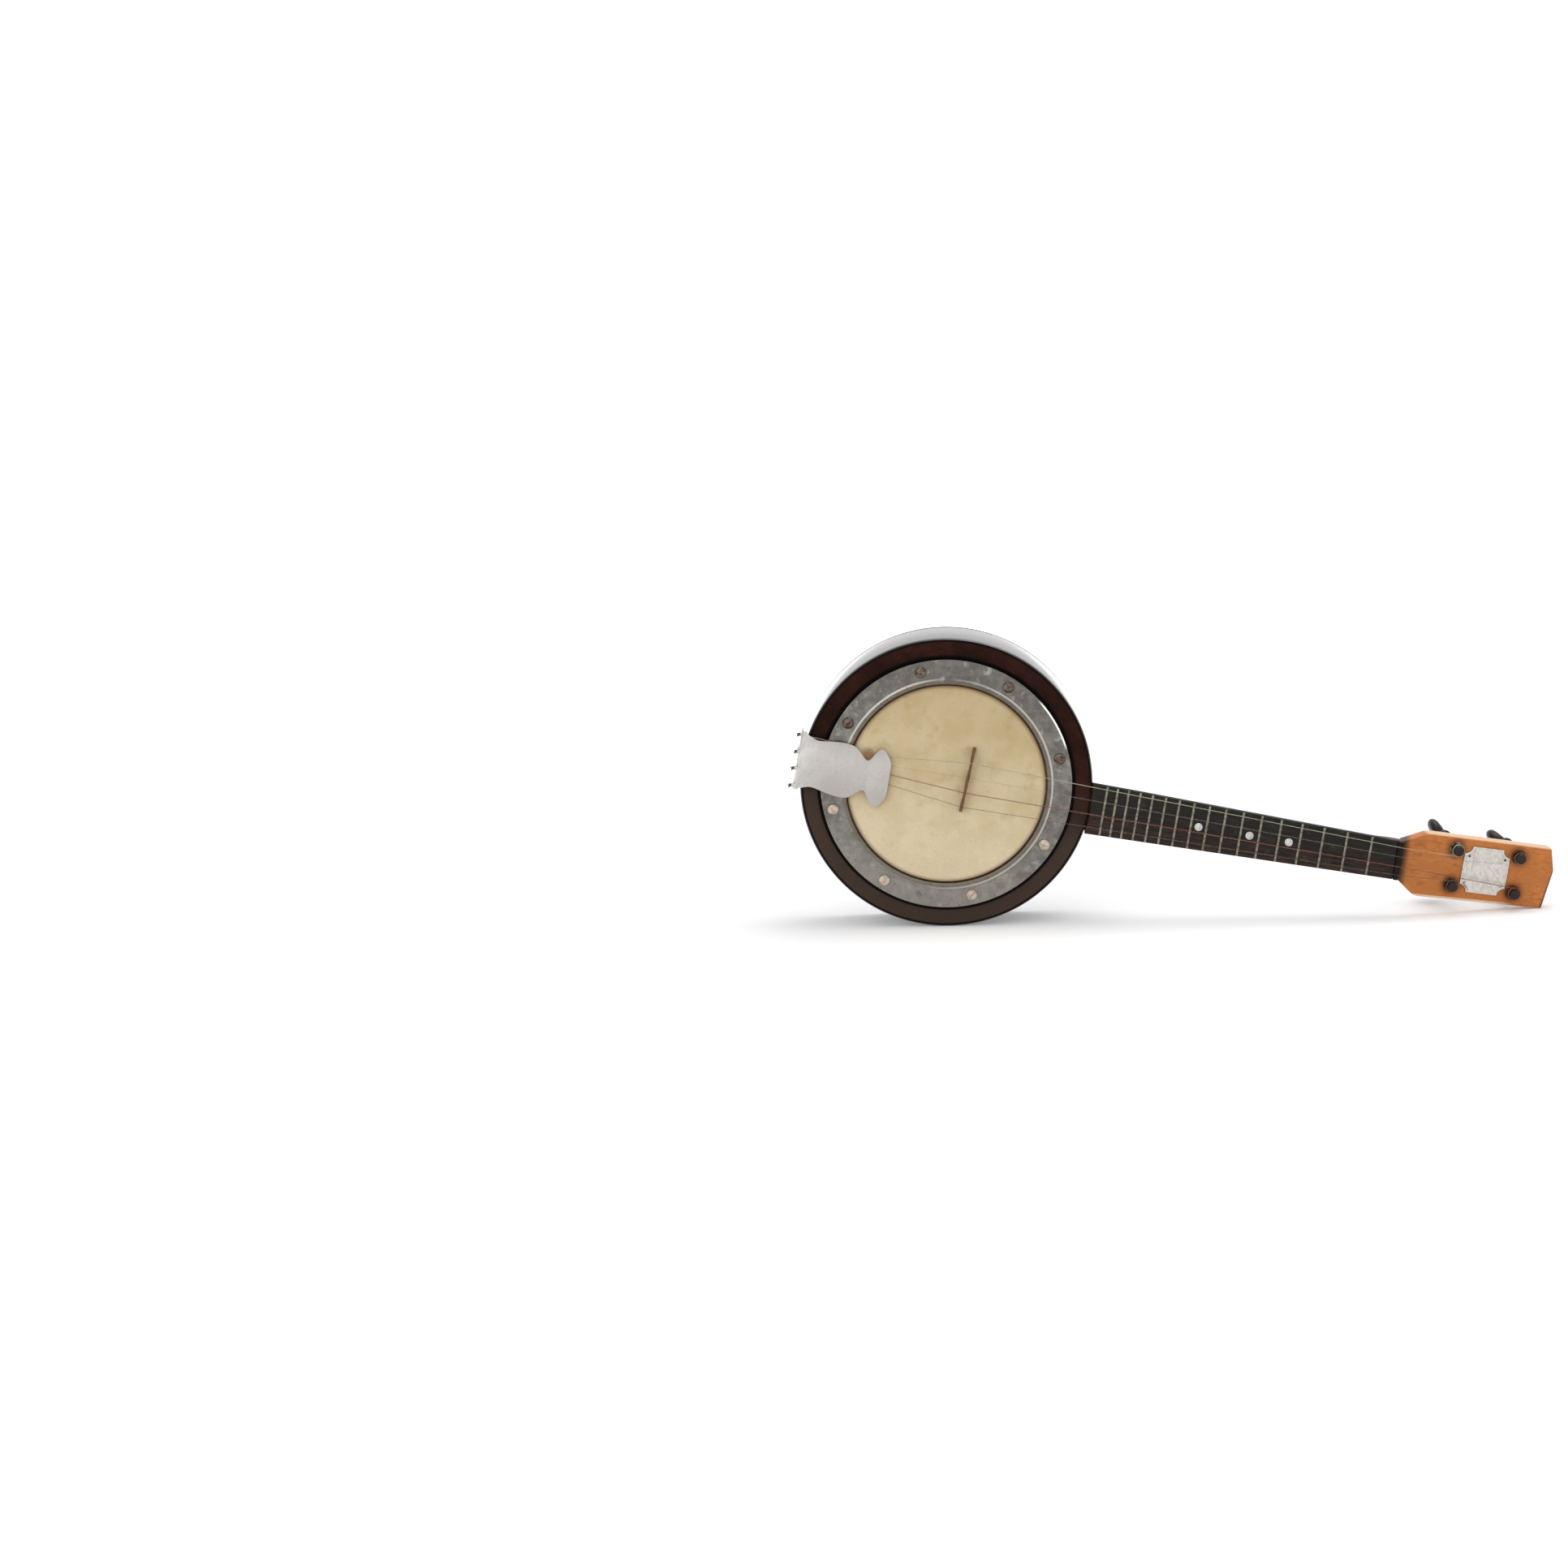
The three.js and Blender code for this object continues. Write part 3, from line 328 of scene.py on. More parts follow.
# %% [markdown]
# Most of the pieces are turned, as on a lathe, or cut from flat stock, and the helpers follow
# these two trades. A turned piece is half a section spun about the Y axis. Its corners are
# rounded on the wire, before the spin, which is quicker than rounding finished rings. A flat piece
# is an outline filled, thickened and bevelled. Both are drawn in millimetres and go to their place
# at the very end.

# %% Helpers for shapes
merge_distance = 0.001


def wire(points, closed=True):
    """A line of edges through some points, and its corners."""
    shape = bmesh.new()
    corners = [shape.verts.new(point) for point in points]
    following = corners[1:] + corners[:1] if closed else corners[1:]
    for pair in zip(corners, following):
        shape.edges.new(pair)
    return shape, corners


def round_corner(shape, corner, radius):
    """Rounds one corner of a wire or of a flat outline."""
    bmesh.ops.bevel(
        shape, geom=[corner], offset=radius, offset_type="OFFSET", segments=5,
        profile=0.5, affect="VERTICES", material=-1,
    )


def soften(shape, edges, radius, segments):
    """Rounds some edges of a solid shape."""
    bmesh.ops.bevel(
        shape, geom=edges, offset=radius, offset_type="OFFSET", segments=segments,
        profile=0.5, affect="EDGES", material=-1, clamp_overlap=True,
    )


def turned(profile, steps, rounds=()):
    """Spins [radius, depth] points about Y. rounds holds [corner number, radius] pairs."""
    closed = min(radius for radius, depth in profile) > 0
    shape, corners = wire([(radius, depth, 0) for radius, depth in profile], closed)
    for number, radius in rounds:
        round_corner(shape, corners[number], radius)
    bmesh.ops.spin(
        shape, geom=shape.verts[:] + shape.edges[:], cent=(0, 0, 0), axis=(0, 1, 0),
        dvec=(0, 0, 0), angle=2 * pi, steps=steps, use_merge=True,
    )
    return shape


def slab(outline, thickness, rim, rounds=(), segments=3):
    """Fills an outline of points, thickens it along a vector and rounds the rims of its faces."""
    shape, corners = wire(outline)
    for number, radius in rounds:
        round_corner(shape, corners[number], radius)
    bmesh.ops.contextual_create(shape, geom=shape.edges[:])
    grown = bmesh.ops.extrude_face_region(shape, geom=shape.faces[:])["geom"]
    moved = [part for part in grown if isinstance(part, bmesh.types.BMVert)]
    bmesh.ops.translate(shape, verts=moved, vec=thickness)
    way = Vector(thickness).normalized()
    rims = [
        edge for edge in shape.edges
        if abs((edge.verts[0].co - edge.verts[1].co).dot(way)) < merge_distance
    ]
    soften(shape, rims, rim, segments)
    return shape


def smooth_line(points, steps):
    """A smooth curve through some 2-D points, as a list of points."""
    places = [Vector(point) for point in points]
    ends = [places[0], *places, places[-1]]
    line = []
    for before, here, there, after in zip(ends, ends[1:], ends[2:], ends[3:]):
        one, two = here + (there - before) / 6, there - (after - here) / 6
        line += interpolate_bezier(here, one, two, there, steps)[:-1]
    return line + [places[-1]]


print("outlines can be turned, or thickened and rounded")

# %% [markdown]
# Some pieces are several shapes in one, or have something cut out of them. Holes could be drawn
# into every outline, but slots and notches cross rounded faces. A Boolean cuts them as a tool
# would. A bmesh has none of its own, so the modifier works on two objects that are removed again.
# The last helper makes a finished shape a piece: doubles merged, faces outwards, moved to its
# place, steep edges kept sharp, and its body, its slot and its nodes named.

# %% Helpers for pieces
sharp_angle = radians(32)


def joined(*shapes):
    """Puts several shapes into the first one."""
    for other in shapes[1:]:
        mesh = bpy.data.meshes.new("joined")
        other.to_mesh(mesh)
        other.free()
        shapes[0].from_mesh(mesh)
        bpy.data.meshes.remove(mesh)
    return shapes[0]


def carved(shape, other, operation="DIFFERENCE"):
    """Cuts one shape out of another, or unites them, with the Boolean modifier."""
    pair = []
    for part in (shape, other):
        bmesh.ops.recalc_face_normals(part, faces=part.faces)
        mesh = bpy.data.meshes.new("carved")
        part.to_mesh(mesh)
        part.free()
        pair.append(bpy.data.objects.new("carved", mesh))
        scene.collection.objects.link(pair[-1])
    knife = pair[0].modifiers.new("knife", "BOOLEAN")
    knife.object = pair[1]
    knife.operation = operation
    knife.solver = "EXACT"
    cut = bpy.data.meshes.new_from_object(
        pair[0].evaluated_get(bpy.context.evaluated_depsgraph_get())
    )
    result = bmesh.new()
    result.from_mesh(cut)
    bpy.data.meshes.remove(cut)
    for part in pair:
        bpy.data.objects.remove(part)
    return result


def dress(nodes, finish):
    """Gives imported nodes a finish."""
    for node in nodes:
        frame["nodes"][node].data.materials.clear()
        frame["nodes"][node].data.materials.append(finish)


def seat(name, shape, finish, nodes, body="instrument", place=at_rest):
    """Makes a drawn shape a piece at its place, riding on its body, for the nodes it replaces."""
    bmesh.ops.remove_doubles(shape, verts=shape.verts, dist=merge_distance)
    bmesh.ops.recalc_face_normals(shape, faces=shape.faces)
    shape.transform(place)
    mesh = bpy.data.meshes.new(name)
    shape.to_mesh(mesh)
    shape.free()
    mesh.shade_smooth()
    mesh.set_sharp_from_angle(angle=sharp_angle)
    mesh.materials.append(finish)
    piece = bpy.data.objects.new(name, mesh)
    scene.collection.objects.link(piece)
    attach(piece, body)
    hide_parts(*nodes)
    dress(nodes, finish)
    print(name, [round(side / MILLIMETRE, 1) for side in piece.dimensions], "mm")
    return piece


print("shapes can be joined, cut and seated")

# %% [markdown]
# The pot is beech or birch, stained nearly black-brown and lacquered. The side still has its
# polish, so it mirrors the room at a low angle; the front ring has been handled for decades and is
# duller, with a little reddish wood showing through. Its lower half is painted paler, as light
# reflected from the floor; the corner beside the hoop is painted near black, as shade in the
# groove, and the rounded edge is painted darkest, as shade, except at the neck. Each part could
# have a material of its own, but only gloss and scuffs differ, so one function makes all three.
# Grain runs round the pot, so the noise is long in X and Z and short in Y.

# %% Lacquer of the pot
front_zone = (8, 5)
floor_light_painted_zone = (25, -35)
groove_shade_painted_zone = (94.4, 93)
edge_shade_painted_zone = (103.1, 104.3)
neck_degrees = (9.5, 10.5)


def lacquer(name, roughness, coat, shine, dust):
    """Brown lacquer with a clear coat, a shine and a share of pale scuffs."""
    material, tree, shader, place = new_finish(
        name, Roughness=roughness, Coat_Weight=coat, Coat_Roughness=0.12,
    )
    shader.inputs["Specular IOR Level"].default_value = shine
    cloud = patches(tree, place, 14, (1.6, 0.5, 1.6), 0.35, 0.7)
    streak = patches(tree, place, 2.2, (9, 0.25, 9), 0.42, 0.75, detail=5, apart=3)
    scuff = patches(tree, place, 1.6, (2.5, 1, 2.5), 0.62, 0.72, detail=6, apart=9)
    radius = from_axis(tree, place)
    sides = add(tree, "ShaderNodeSeparateXYZ", {0: place})
    front = share_of(tree, (sides.outputs["Y"], *front_zone))
    off_neck = share_of(tree, (toward(tree, place, 0, *neck_degrees), 1, 0))
    colour_with(tree, shader, [
        "22110b", (cloud, "2d160f"), (streak, "3c1e17"),
        # Painted light: the lower half of the front is paler, as light reflected from the floor.
        ([(sides.outputs["Z"], *floor_light_painted_zone), front, 0.9], "493c34"),
        ([scuff, dust], "5d4034"),
        # Painted shade: near black in the groove beside the hoop, and along the outer edge but not
        # at the neck.
        ([(radius, *groove_shade_painted_zone), front], "070404"),
        ([(radius, *edge_shade_painted_zone), front, off_neck], "0a0605"),
    ], relief=(streak, 0.05, 0.25))
    return material


ring_lacquer = lacquer("dulled_brown_lacquer", roughness=0.5, coat=0.0, shine=0.05, dust=0.2)
side_lacquer = lacquer("polished_brown_lacquer", roughness=0.3, coat=1.0, shine=0.3, dust=0.25)
back_lacquer = lacquer("satin_brown_lacquer", roughness=0.45, coat=0.15, shine=0.15, dust=0.25)
print("three lacquers")

# %% [markdown]
# The pot's shell is one form: a broad ring in front with a rounded outer edge, and a deep side. A
# ring and a tube would show a seam between them, so both are spun from one section, and the faces
# that look outwards get the polished lacquer. The flat back is a disc, turned in the same way.

# %% Pot shell and back
pot_radius = 106
ring_bore = 89.3
ring_face = 2.5
ring_back = 10.5
shell_back = 51
shell_inner = 100
front_edge = 1.2
shell = turned([
    (ring_bore, ring_face), (pot_radius, ring_face), (pot_radius, shell_back),
    (shell_inner, shell_back), (shell_inner, ring_back), (ring_bore, ring_back),
], rounds=[(0, 0.8), (1, 2.3), (2, 0.6)], steps=256)
pot_shell = seat("pot_shell", shell, ring_lacquer, ["body_shell"])
pot_shell.data.materials.append(side_lacquer)
for face in pot_shell.data.polygons:
    middle = at_rest.inverted() @ face.center
    face.material_index = int(hypot(middle.x, middle.z) > pot_radius - front_edge)

back = turned([
    (0, shell_back + seat_gap), (pot_radius, shell_back + seat_gap), (pot_radius, pot_depth),
    (0, pot_depth),
], rounds=[(1, 0.4), (2, 2)], steps=256)
seat("pot_back", back, back_lacquer, ["back_plate"])

# %% [markdown]
# The head is calf vellum: cream, clouded all over, darker towards the hoop and dotted with small
# brown specks. It is painted paler below, as light from the floor, and darker above, as shade.
# Beside the tailpiece a brown patch is partly stain and partly the plate's painted shadow. It is
# stretched over the rim, so its edge turns down in a soft round. A cloth simulation could stretch
# it, but a taut skin is simply flat, so it is turned, and a little light is let into it.

# %% Vellum and the head
skin_shade_painted_zone = (0, 60)
skin_light_painted_zone = (5, -55)
near_hoop_darker_zone = (68.5, 72.5)
stain_and_shadow_place = (-59, 12)
stain_and_shadow_zone = (7, 2)
vellum, tree, shader, place = new_finish("calf_vellum", Roughness=0.62, Subsurface_Weight=0.08)
shader.inputs["Subsurface Scale"].default_value = MILLIMETRE
shader.inputs["Specular IOR Level"].default_value = 0.3
cloud = patches(tree, place, 26, low=0.36, high=0.62, detail=4)
stain = patches(tree, place, 11, low=0.52, high=0.74, detail=6, apart=5)
fleck = patches(tree, place, 1.5, low=0.66, high=0.74, detail=2, apart=8)
fibre = patches(tree, place, 0.7, (2.5, 1, 1), 0.35, 0.7, detail=4)
height = add(tree, "ShaderNodeSeparateXYZ", {0: place}).outputs["Z"]
colour_with(tree, shader, [
    "d6c095", (cloud, "e3d0ab"), ([stain, 0.6], "bda577"),
    # Painted shade above and painted light below.
    ([(height, *skin_shade_painted_zone), 0.4], "ae9460"), ([(height, *skin_light_painted_zone), 0.6], "efdfbf"),
    ([fibre, 0.22], "c8b58a"), ([fleck, 0.35], "93774f"),
    # Brown stain beside the tailpiece, with the plate's shadow painted into it.
    ([(from_axis(tree, place, *stain_and_shadow_place), *stain_and_shadow_zone), 0.75], "9a6430"),
    ([(from_axis(tree, place), *near_hoop_darker_zone), 0.75], "8d7252"),
], relief=(fibre, 0.04, 0.4))

skin_top = 1.8
skin_thickness = 0.6
skin_inner = 71.8
skin_outer = 72.4
skirt_foot = 5.2
skin = turned([
    (0, -skin_top), (skin_outer, -skin_top), (skin_outer, skirt_foot), (skin_inner, skirt_foot),
    (skin_inner, skin_thickness - skin_top), (0, skin_thickness - skin_top),
], rounds=[(1, 2.1), (4, 1.5)], steps=256)
seat("skin", skin, vellum, ["head_skin"])

# %% [markdown]
# The tension hoop is brass, plated with nickel that has gone dull and pitted: grey with clouds,
# dark specks and brownish tarnish. It is painted darker above and paler below, as shade and light.
# In this white room a metal shows its own colour, so the patches carry the look, and a fine relief
# breaks the highlights. The crest of the bead and a stretch of the outer edge get painted
# highlights. A ready-made torus could serve as the bead, but it would leave a crease, so hoop and
# bead are turned from one section.

# %% Dull nickel and the hoop
hoop_shade_painted_zone = (20, 80)
hoop_light_painted_zone = (-30, -75)
bead_foot_zone = (76.4, 75.2)
crest_radius = 76.9
crest_highlight_zone = (1.0, 0.3)
crest_highlight_degrees = [(141, 18, 45), (28, 35, 75), (-40, 10, 60)]
outer_edge_highlight_zone = (89.6, 90.2)
outer_edge_highlight_degrees = (39, 9, 14)
dull_nickel, tree, shader, place = new_finish("dull_nickel_plate", Metallic=0.85, Roughness=0.42)
cloud = patches(tree, place, 6, low=0.34, high=0.7, detail=6)
pit = patches(tree, place, 1.1, low=0.6, high=0.7, detail=4, apart=4)
tarnish = patches(tree, place, 13, low=0.56, high=0.72, detail=5, apart=11)
rub = patches(tree, place, 3, (2, 1, 2), 0.55, 0.75, detail=5, apart=17)
radius = from_axis(tree, place)
height = add(tree, "ShaderNodeSeparateXYZ", {0: place}).outputs["Z"]
off_crest = add(tree, "ShaderNodeMath", {0: radius, 1: crest_radius}, operation="SUBTRACT")
off_crest = add(tree, "ShaderNodeMath", {0: off_crest}, operation="ABSOLUTE")
crest_highlight_share = toward(tree, place, *crest_highlight_degrees[0])
for degrees in crest_highlight_degrees[1:]:
    crest_highlight_share = add(tree, "ShaderNodeMath", {
        0: crest_highlight_share, 1: toward(tree, place, *degrees),
    }, operation="MAXIMUM")
colour_with(tree, shader, [
    # Painted shade above and painted light below.
    "67645f", (cloud, "827f79"), ([(height, *hoop_shade_painted_zone), 0.45], "55524d"),
    ([(height, *hoop_light_painted_zone), 0.5], "9c9890"), (rub, "98958e"), ([tarnish, 0.5], "63564a"),
    ([(radius, *bead_foot_zone), 0.6], "6a5d4d"),
    # Painted highlight along the crest of the bead.
    ([(off_crest, *crest_highlight_zone), crest_highlight_share, 0.8], "c4c1ba"), ([pit, 0.7], "443d35"),
    # Painted highlight on a stretch of the outer edge.
    ([(radius, *outer_edge_highlight_zone), toward(tree, place, *outer_edge_highlight_degrees)], "f4f3f0"),
], relief=(pit, 0.08, 0.5))

hoop_inner = 73.0
bead_outer = 76.8
hoop_outer = 91.2
hoop_top = 1.7
bead_height = 2.9
bead_flat = 1.1
bead_slope = 1.4
hoop_foot = 2.2
hoop = turned([
    (hoop_inner, hoop_foot), (hoop_inner, -bead_height), (bead_outer - bead_flat, -bead_height),
    (bead_outer + bead_slope, -hoop_top), (hoop_outer, -hoop_top), (hoop_outer, -seat_gap),
    (bead_outer, -seat_gap), (bead_outer, hoop_foot),
], rounds=[(1, 1.5), (2, 1.3), (3, 1.5), (4, 0.6)], steps=256)
seat("hoop", hoop, dull_nickel, ["tension_hoop"])

# %% [markdown]
# Eight domed and slotted wood screws hold the hoop. The lower ones are bright, pinkish nickel; the
# upper ones have lost their plating and rusted. One finish serves all eight and turns brown above
# the middle. The slot could be modelled into the dome, but a Boolean cut keeps the dome round and
# the slot sharp. Every screw has stopped at its own angle.

# %% Screws of the hoop
rusted_zone = (-10, 10)
screw_metal, tree, shader, place = new_finish("worn_nickel_screw", Metallic=0.8, Roughness=0.38)
height = add(tree, "ShaderNodeSeparateXYZ", {0: place}).outputs["Z"]
blotch = patches(tree, place, 2.2, low=0.4, high=0.62, detail=5)
bright = add(tree, "ShaderNodeMix", {0: blotch, 6: "c9baa9", 7: "b09e8d"}, data_type="RGBA")
rusty = add(tree, "ShaderNodeMix", {0: blotch, 6: "6f6459", 7: "4a372a"}, data_type="RGBA")
colour_with(
    tree, shader, [bright, ([(height, *rusted_zone)], rusty)], relief=(blotch, 0.06, 0.4),
)

screw_circle = 84
head_radius = 4.2
head_height = 2.1
shank_radius = 1.5
shank_length = 14
shank_tip = 2
slot_width = 0.9
slot_depth = 1.1
slot_turns = [20, 65, 110, 150, 35, 80, 125, 10]


def slotted_screw(radius, height, shank, length):
    """A domed screw along Y with the underside of its head at Y = 0."""
    dome = [
        (radius * sin(step * pi / 16), -height * cos(step * pi / 16)) for step in range(9)
    ]
    body = turned([*dome, (shank, 0), (shank, length - shank_tip), (0, length)], steps=40)
    bmesh.ops.remove_doubles(body, verts=body.verts, dist=merge_distance)
    knife = bmesh.new()
    bmesh.ops.create_cube(knife, size=1)
    bmesh.ops.scale(knife, vec=(3 * radius, 2 * slot_depth, slot_width), verts=knife.verts)
    bmesh.ops.translate(knife, vec=(0, -height, 0), verts=knife.verts)
    return carved(body, knife)


for number, turn in enumerate(slot_turns):
    angle = (number + 0.5) * 2 * pi / len(slot_turns)
    spot = (screw_circle * cos(angle), -hoop_top - seat_gap, screw_circle * sin(angle))
    where = at_rest @ Matrix.Translation(spot) @ Matrix.Rotation(radians(turn), 4, "Y")
    screw = slotted_screw(head_radius, head_height, shank_radius, shank_length)
    seat(
        f"rim_screw_{number + 1}", screw, screw_metal,
        [f"hoop_screw_{number + 1}"], place=where,
    )

# %% [markdown]
# The tailpiece is sheet brass with bright nickel on it, bent once: a scalloped plate lies over the
# rim, and a skirt folds down behind. The scallops could be arcs set end to end, but they flow into
# one another, so each side is one smooth curve through a few points, written as shares of the
# plate's length and half width. The plate leans a little to one side. It is painted darker towards
# the bridge, as shade, and the hooks behind it are black with dirt.

# %% Tailpiece plate
tail_shade_painted_zone = (-106, -84)
hook_zone = (-110.3, -111)
bright_nickel, tree, shader, place = new_finish("bright_nickel_plate", Metallic=1.0, Roughness=0.3)
cloud = patches(tree, place, 12, low=0.36, high=0.66, detail=4)
spot = patches(tree, place, 1.6, low=0.62, high=0.72, detail=5, apart=6)
smear = patches(tree, place, 6, (0.6, 1, 2.5), 0.52, 0.74, detail=4, apart=13)
along = add(tree, "ShaderNodeSeparateXYZ", {0: place}).outputs["X"]
colour_with(tree, shader, [
    # Painted shade: darker towards the bridge.
    "b4b0ac", (cloud, "c3c0bb"), ([(along, *tail_shade_painted_zone), 0.7], "a6a19c"),
    ([smear, 0.5], "a39d98"), ([spot, 0.55], "837a71"), ([(along, *hook_zone), 0.9], "38312b"),
], relief=(spot, 0.04, 0.3))

tail_reach = 109.5
tail_length = 67.9
tail_half_width = 22
tail_lean = sin(radians(3.4))
tail_metal = 1.2
tail_back = -4.6
tail_front = tail_back - tail_metal
fold_radius = 1.7
tail_shares = [
    (0, 1), (0.04, 0.95), (0.1, 0.87), (0.19, 0.785), (0.31, 0.84), (0.43, 0.895), (0.52, 0.9),
    (0.59, 0.86), (0.66, 0.7), (0.72, 0.53), (0.765, 0.54), (0.81, 0.76), (0.86, 0.95),
    (0.9, 0.965), (0.95, 0.82), (0.99, 0.62), (1, 0.45),
]


def tail_side(side):
    """One long edge of the plate, from the fold to the front, as [X, Z] points."""
    return smooth_line([
        (
            -tail_reach + max(fold_radius, along * tail_length),
            side * across * tail_half_width - along * tail_length * tail_lean,
        )
        for along, across in tail_shares
    ], steps=5)


rim_of_plate = [*tail_side(1), *reversed(tail_side(-1))]
tail_plate = slab(
    [(point.x, tail_back, point.y) for point in rim_of_plate], (0, -tail_metal, 0), rim=0.35,
)
print(len(tail_plate.faces), "faces in the plate")

# %% [markdown]
# Behind the plate, the fold, the skirt and the strap are bent sheet. A flat sheet could be folded
# face by face, but seen from its edge a bend is only an outline, so each is drawn in X and Y and
# thickened across. Where the skirt laps the plate it is a hair thinner, so that no two faces lie
# in one plane.

# %% Tailpiece skirt and strap
skirt_depth = 7
skirt_half = 21.5
skirt_lap = 4
lap_step = 0.02
strap_half = 8
strap_face = 107.5
strap_top = 3
strap_foot = 39.8
strap_bend = 6
strap_step = 0.03
skirt_face = -tail_reach
skirt_inside = skirt_face + tail_metal

skirt = slab([
    (skirt_face + skirt_lap, tail_front + lap_step, -skirt_half),
    (skirt_face, tail_front + lap_step, -skirt_half),
    (skirt_face, skirt_depth, -skirt_half), (skirt_inside, skirt_depth, -skirt_half),
    (skirt_inside, tail_back - lap_step, -skirt_half),
    (skirt_face + skirt_lap, tail_back - lap_step, -skirt_half),
], (0, 0, 2 * skirt_half), rim=0.3, rounds=[(1, fold_radius), (2, 0.3), (4, 0.5)])
strap = slab([
    (skirt_face - strap_step, strap_top, -strap_half),
    (skirt_face - strap_step, skirt_depth, -strap_half),
    (-strap_face, skirt_depth + strap_bend, -strap_half), (-strap_face, strap_foot, -strap_half),
    (-strap_face + tail_metal, strap_foot, -strap_half),
    (-strap_face + tail_metal, skirt_depth + strap_bend, -strap_half),
    (skirt_inside, skirt_depth, -strap_half), (skirt_inside, strap_top, -strap_half),
], (0, 0, 2 * strap_half), rim=0.3, rounds=[(1, 1), (2, 1), (5, 1), (6, 1)])
print(len(skirt.faces), "faces in the skirt,", len(strap.faces), "in the strap")

# %% [markdown]
# Four windows are cut in the skirt. The tongues from them are bent back and up as hooks, and each
# holds the end of one string. A hook could be a bar bent along a curve; as flat stock it is again
# an outline seen from its edge, two arcs and two ends. One screw holds the strap to the pot.

# %% Tailpiece hooks and screw
hook_shares = [0.86, 0.28, -0.28, -0.86]
hook_width = 2.4
hook_span = 3.2
hook_reach = hook_span + tail_metal
hook_rise = 1.2
hook_metal = 1
window_room = 0.9
window_foot = 1.8
window_length = 6
window_shift = 0.3
tail_screw_depth = 32.8
tail_screw_turn = radians(35)


def hook(share):
    """A tongue that curls out behind the skirt and up in front of the plate."""
    across = share * tail_half_width - hook_width / 2
    outer, inner = [
        [
            (
                skirt_inside - radius * sin(step * pi / 16),
                tail_back - hook_reach + radius * cos(step * pi / 16), across,
            )
            for step in range(9)
        ]
        for radius in (hook_reach, hook_reach - hook_metal)
    ]
    tip = tail_back - hook_reach - hook_rise
    ends = [
        (skirt_inside - hook_reach, tip, across),
        (skirt_inside - hook_reach + hook_metal, tip, across),
    ]
    return slab([*outer, *ends, *reversed(inner)], (0, 0, hook_width), rim=0.25)


windows = bmesh.new()
window_size = (window_length, window_foot - tail_back, hook_width + window_room)
window_middle = (window_foot + tail_back) / 2 + window_shift
for share in hook_shares:
    window = bmesh.ops.create_cube(windows, size=1)["verts"]
    bmesh.ops.scale(windows, vec=window_size, verts=window)
    middle = (skirt_face, window_middle, share * tail_half_width)
    bmesh.ops.translate(windows, vec=middle, verts=window)
hooks = [hook(share) for share in hook_shares]
tail_shape = joined(tail_plate, carved(skirt, windows), strap, *hooks)
seat("tail_plate_and_hooks", tail_shape, bright_nickel, ["tailpiece"])

screw_place = (
    at_rest
    @ Matrix.Translation((-strap_face - seat_gap, tail_screw_depth, 0))
    @ Matrix.Rotation(-pi / 2, 4, "Z")
    @ Matrix.Rotation(tail_screw_turn, 4, "Y")
)
strap_screw = slotted_screw(radius=4, height=2, shank=1.8, length=19.2)
seat(
    "strap_screw", strap_screw, screw_metal, ["tailpiece_screw"],
    place=screw_place,
)

# %% [markdown]
# The bridge is a small slip of stained maple that only the strings hold down, so it has wandered
# towards the neck and turned a little. It stands on three feet with two arches between them. A
# maker saws the arches, but here they are cleaner as part of the outline. The slip is thinner at
# the top, and only the four notches are cut, with round rods a little wider than the strings.

# %% Bridge
bridge_wood, tree, shader, place = new_finish("stained_maple_bridge", Roughness=0.5)
grain = patches(tree, place, 0.8, (1, 1, 9), 0.38, 0.66, detail=4)
worn = patches(tree, place, 3, (1, 1, 2), 0.5, 0.75, detail=3, apart=4)
colour_with(
    tree, shader, ["5e3a16", (grain, "7f5425"), (worn, "4b2b0e")], relief=(grain, 0.05, 0.4),
)

bridge_length = 48.5
bridge_height = 7.4
bridge_thickness = 2.4
foot_share = 0.16
arch_share = 0.42
top_share = 0.86
flare_share = 0.3
bridge_notch_shares = [0.28, 0.055, -0.18, -0.4]
bridge_spot = Vector((14.62, -2.1, 5.8))
bridge_skew = radians(2.7)
string_diameters = [0.62, 0.72, 0.9, 0.72]
notch_room = 0.1


def arch(start, end, rise):
    """A low arch as [height, Z] points."""
    shares = [step / 8 for step in range(9)]
    return [(4 * rise * share * (1 - share), start + (end - start) * share) for share in shares]


def notch_rods(spots, length):
    """Rods along X that file the notches, each a little wider than its string."""
    rods = bmesh.new()
    for spot, diameter in zip(spots, string_diameters):
        radius = diameter / 2 + notch_room
        rod = bmesh.ops.create_cone(
            rods, cap_ends=True, segments=16, radius1=radius, radius2=radius, depth=length,
        )["verts"]
        bmesh.ops.rotate(rods, verts=rod, matrix=Matrix.Rotation(pi / 2, 3, "Y"))
        bmesh.ops.translate(rods, vec=spot, verts=rod)
    return rods


half = bridge_length / 2
foot = half * foot_share
arch_rise = bridge_height * arch_share
edge = [
    (0, -half), *arch(2 * foot - half, -foot, arch_rise), *arch(foot, half - 2 * foot, arch_rise),
    (0, half), (bridge_height, half * top_share), (bridge_height, -half * top_share),
]
bridge = slab(
    [(-bridge_thickness / 2, -height, across) for height, across in edge],
    (bridge_thickness, 0, 0), rim=0.25, rounds=[(len(edge) - 2, 1.6), (len(edge) - 1, 1.6)],
)
for vert in bridge.verts:
    vert.co.x *= 1 + flare_share * vert.co.y / bridge_height
notches = notch_rods(
    [(0, -bridge_height, share * bridge_length) for share in bridge_notch_shares],
    length=8,
)
bridge_place = at_rest @ Matrix.Translation(bridge_spot) @ Matrix.Rotation(bridge_skew, 4, "Y")
seat(
    "bridge_slip", carved(bridge, notches), bridge_wood, ["bridge"],
    place=bridge_place,
)
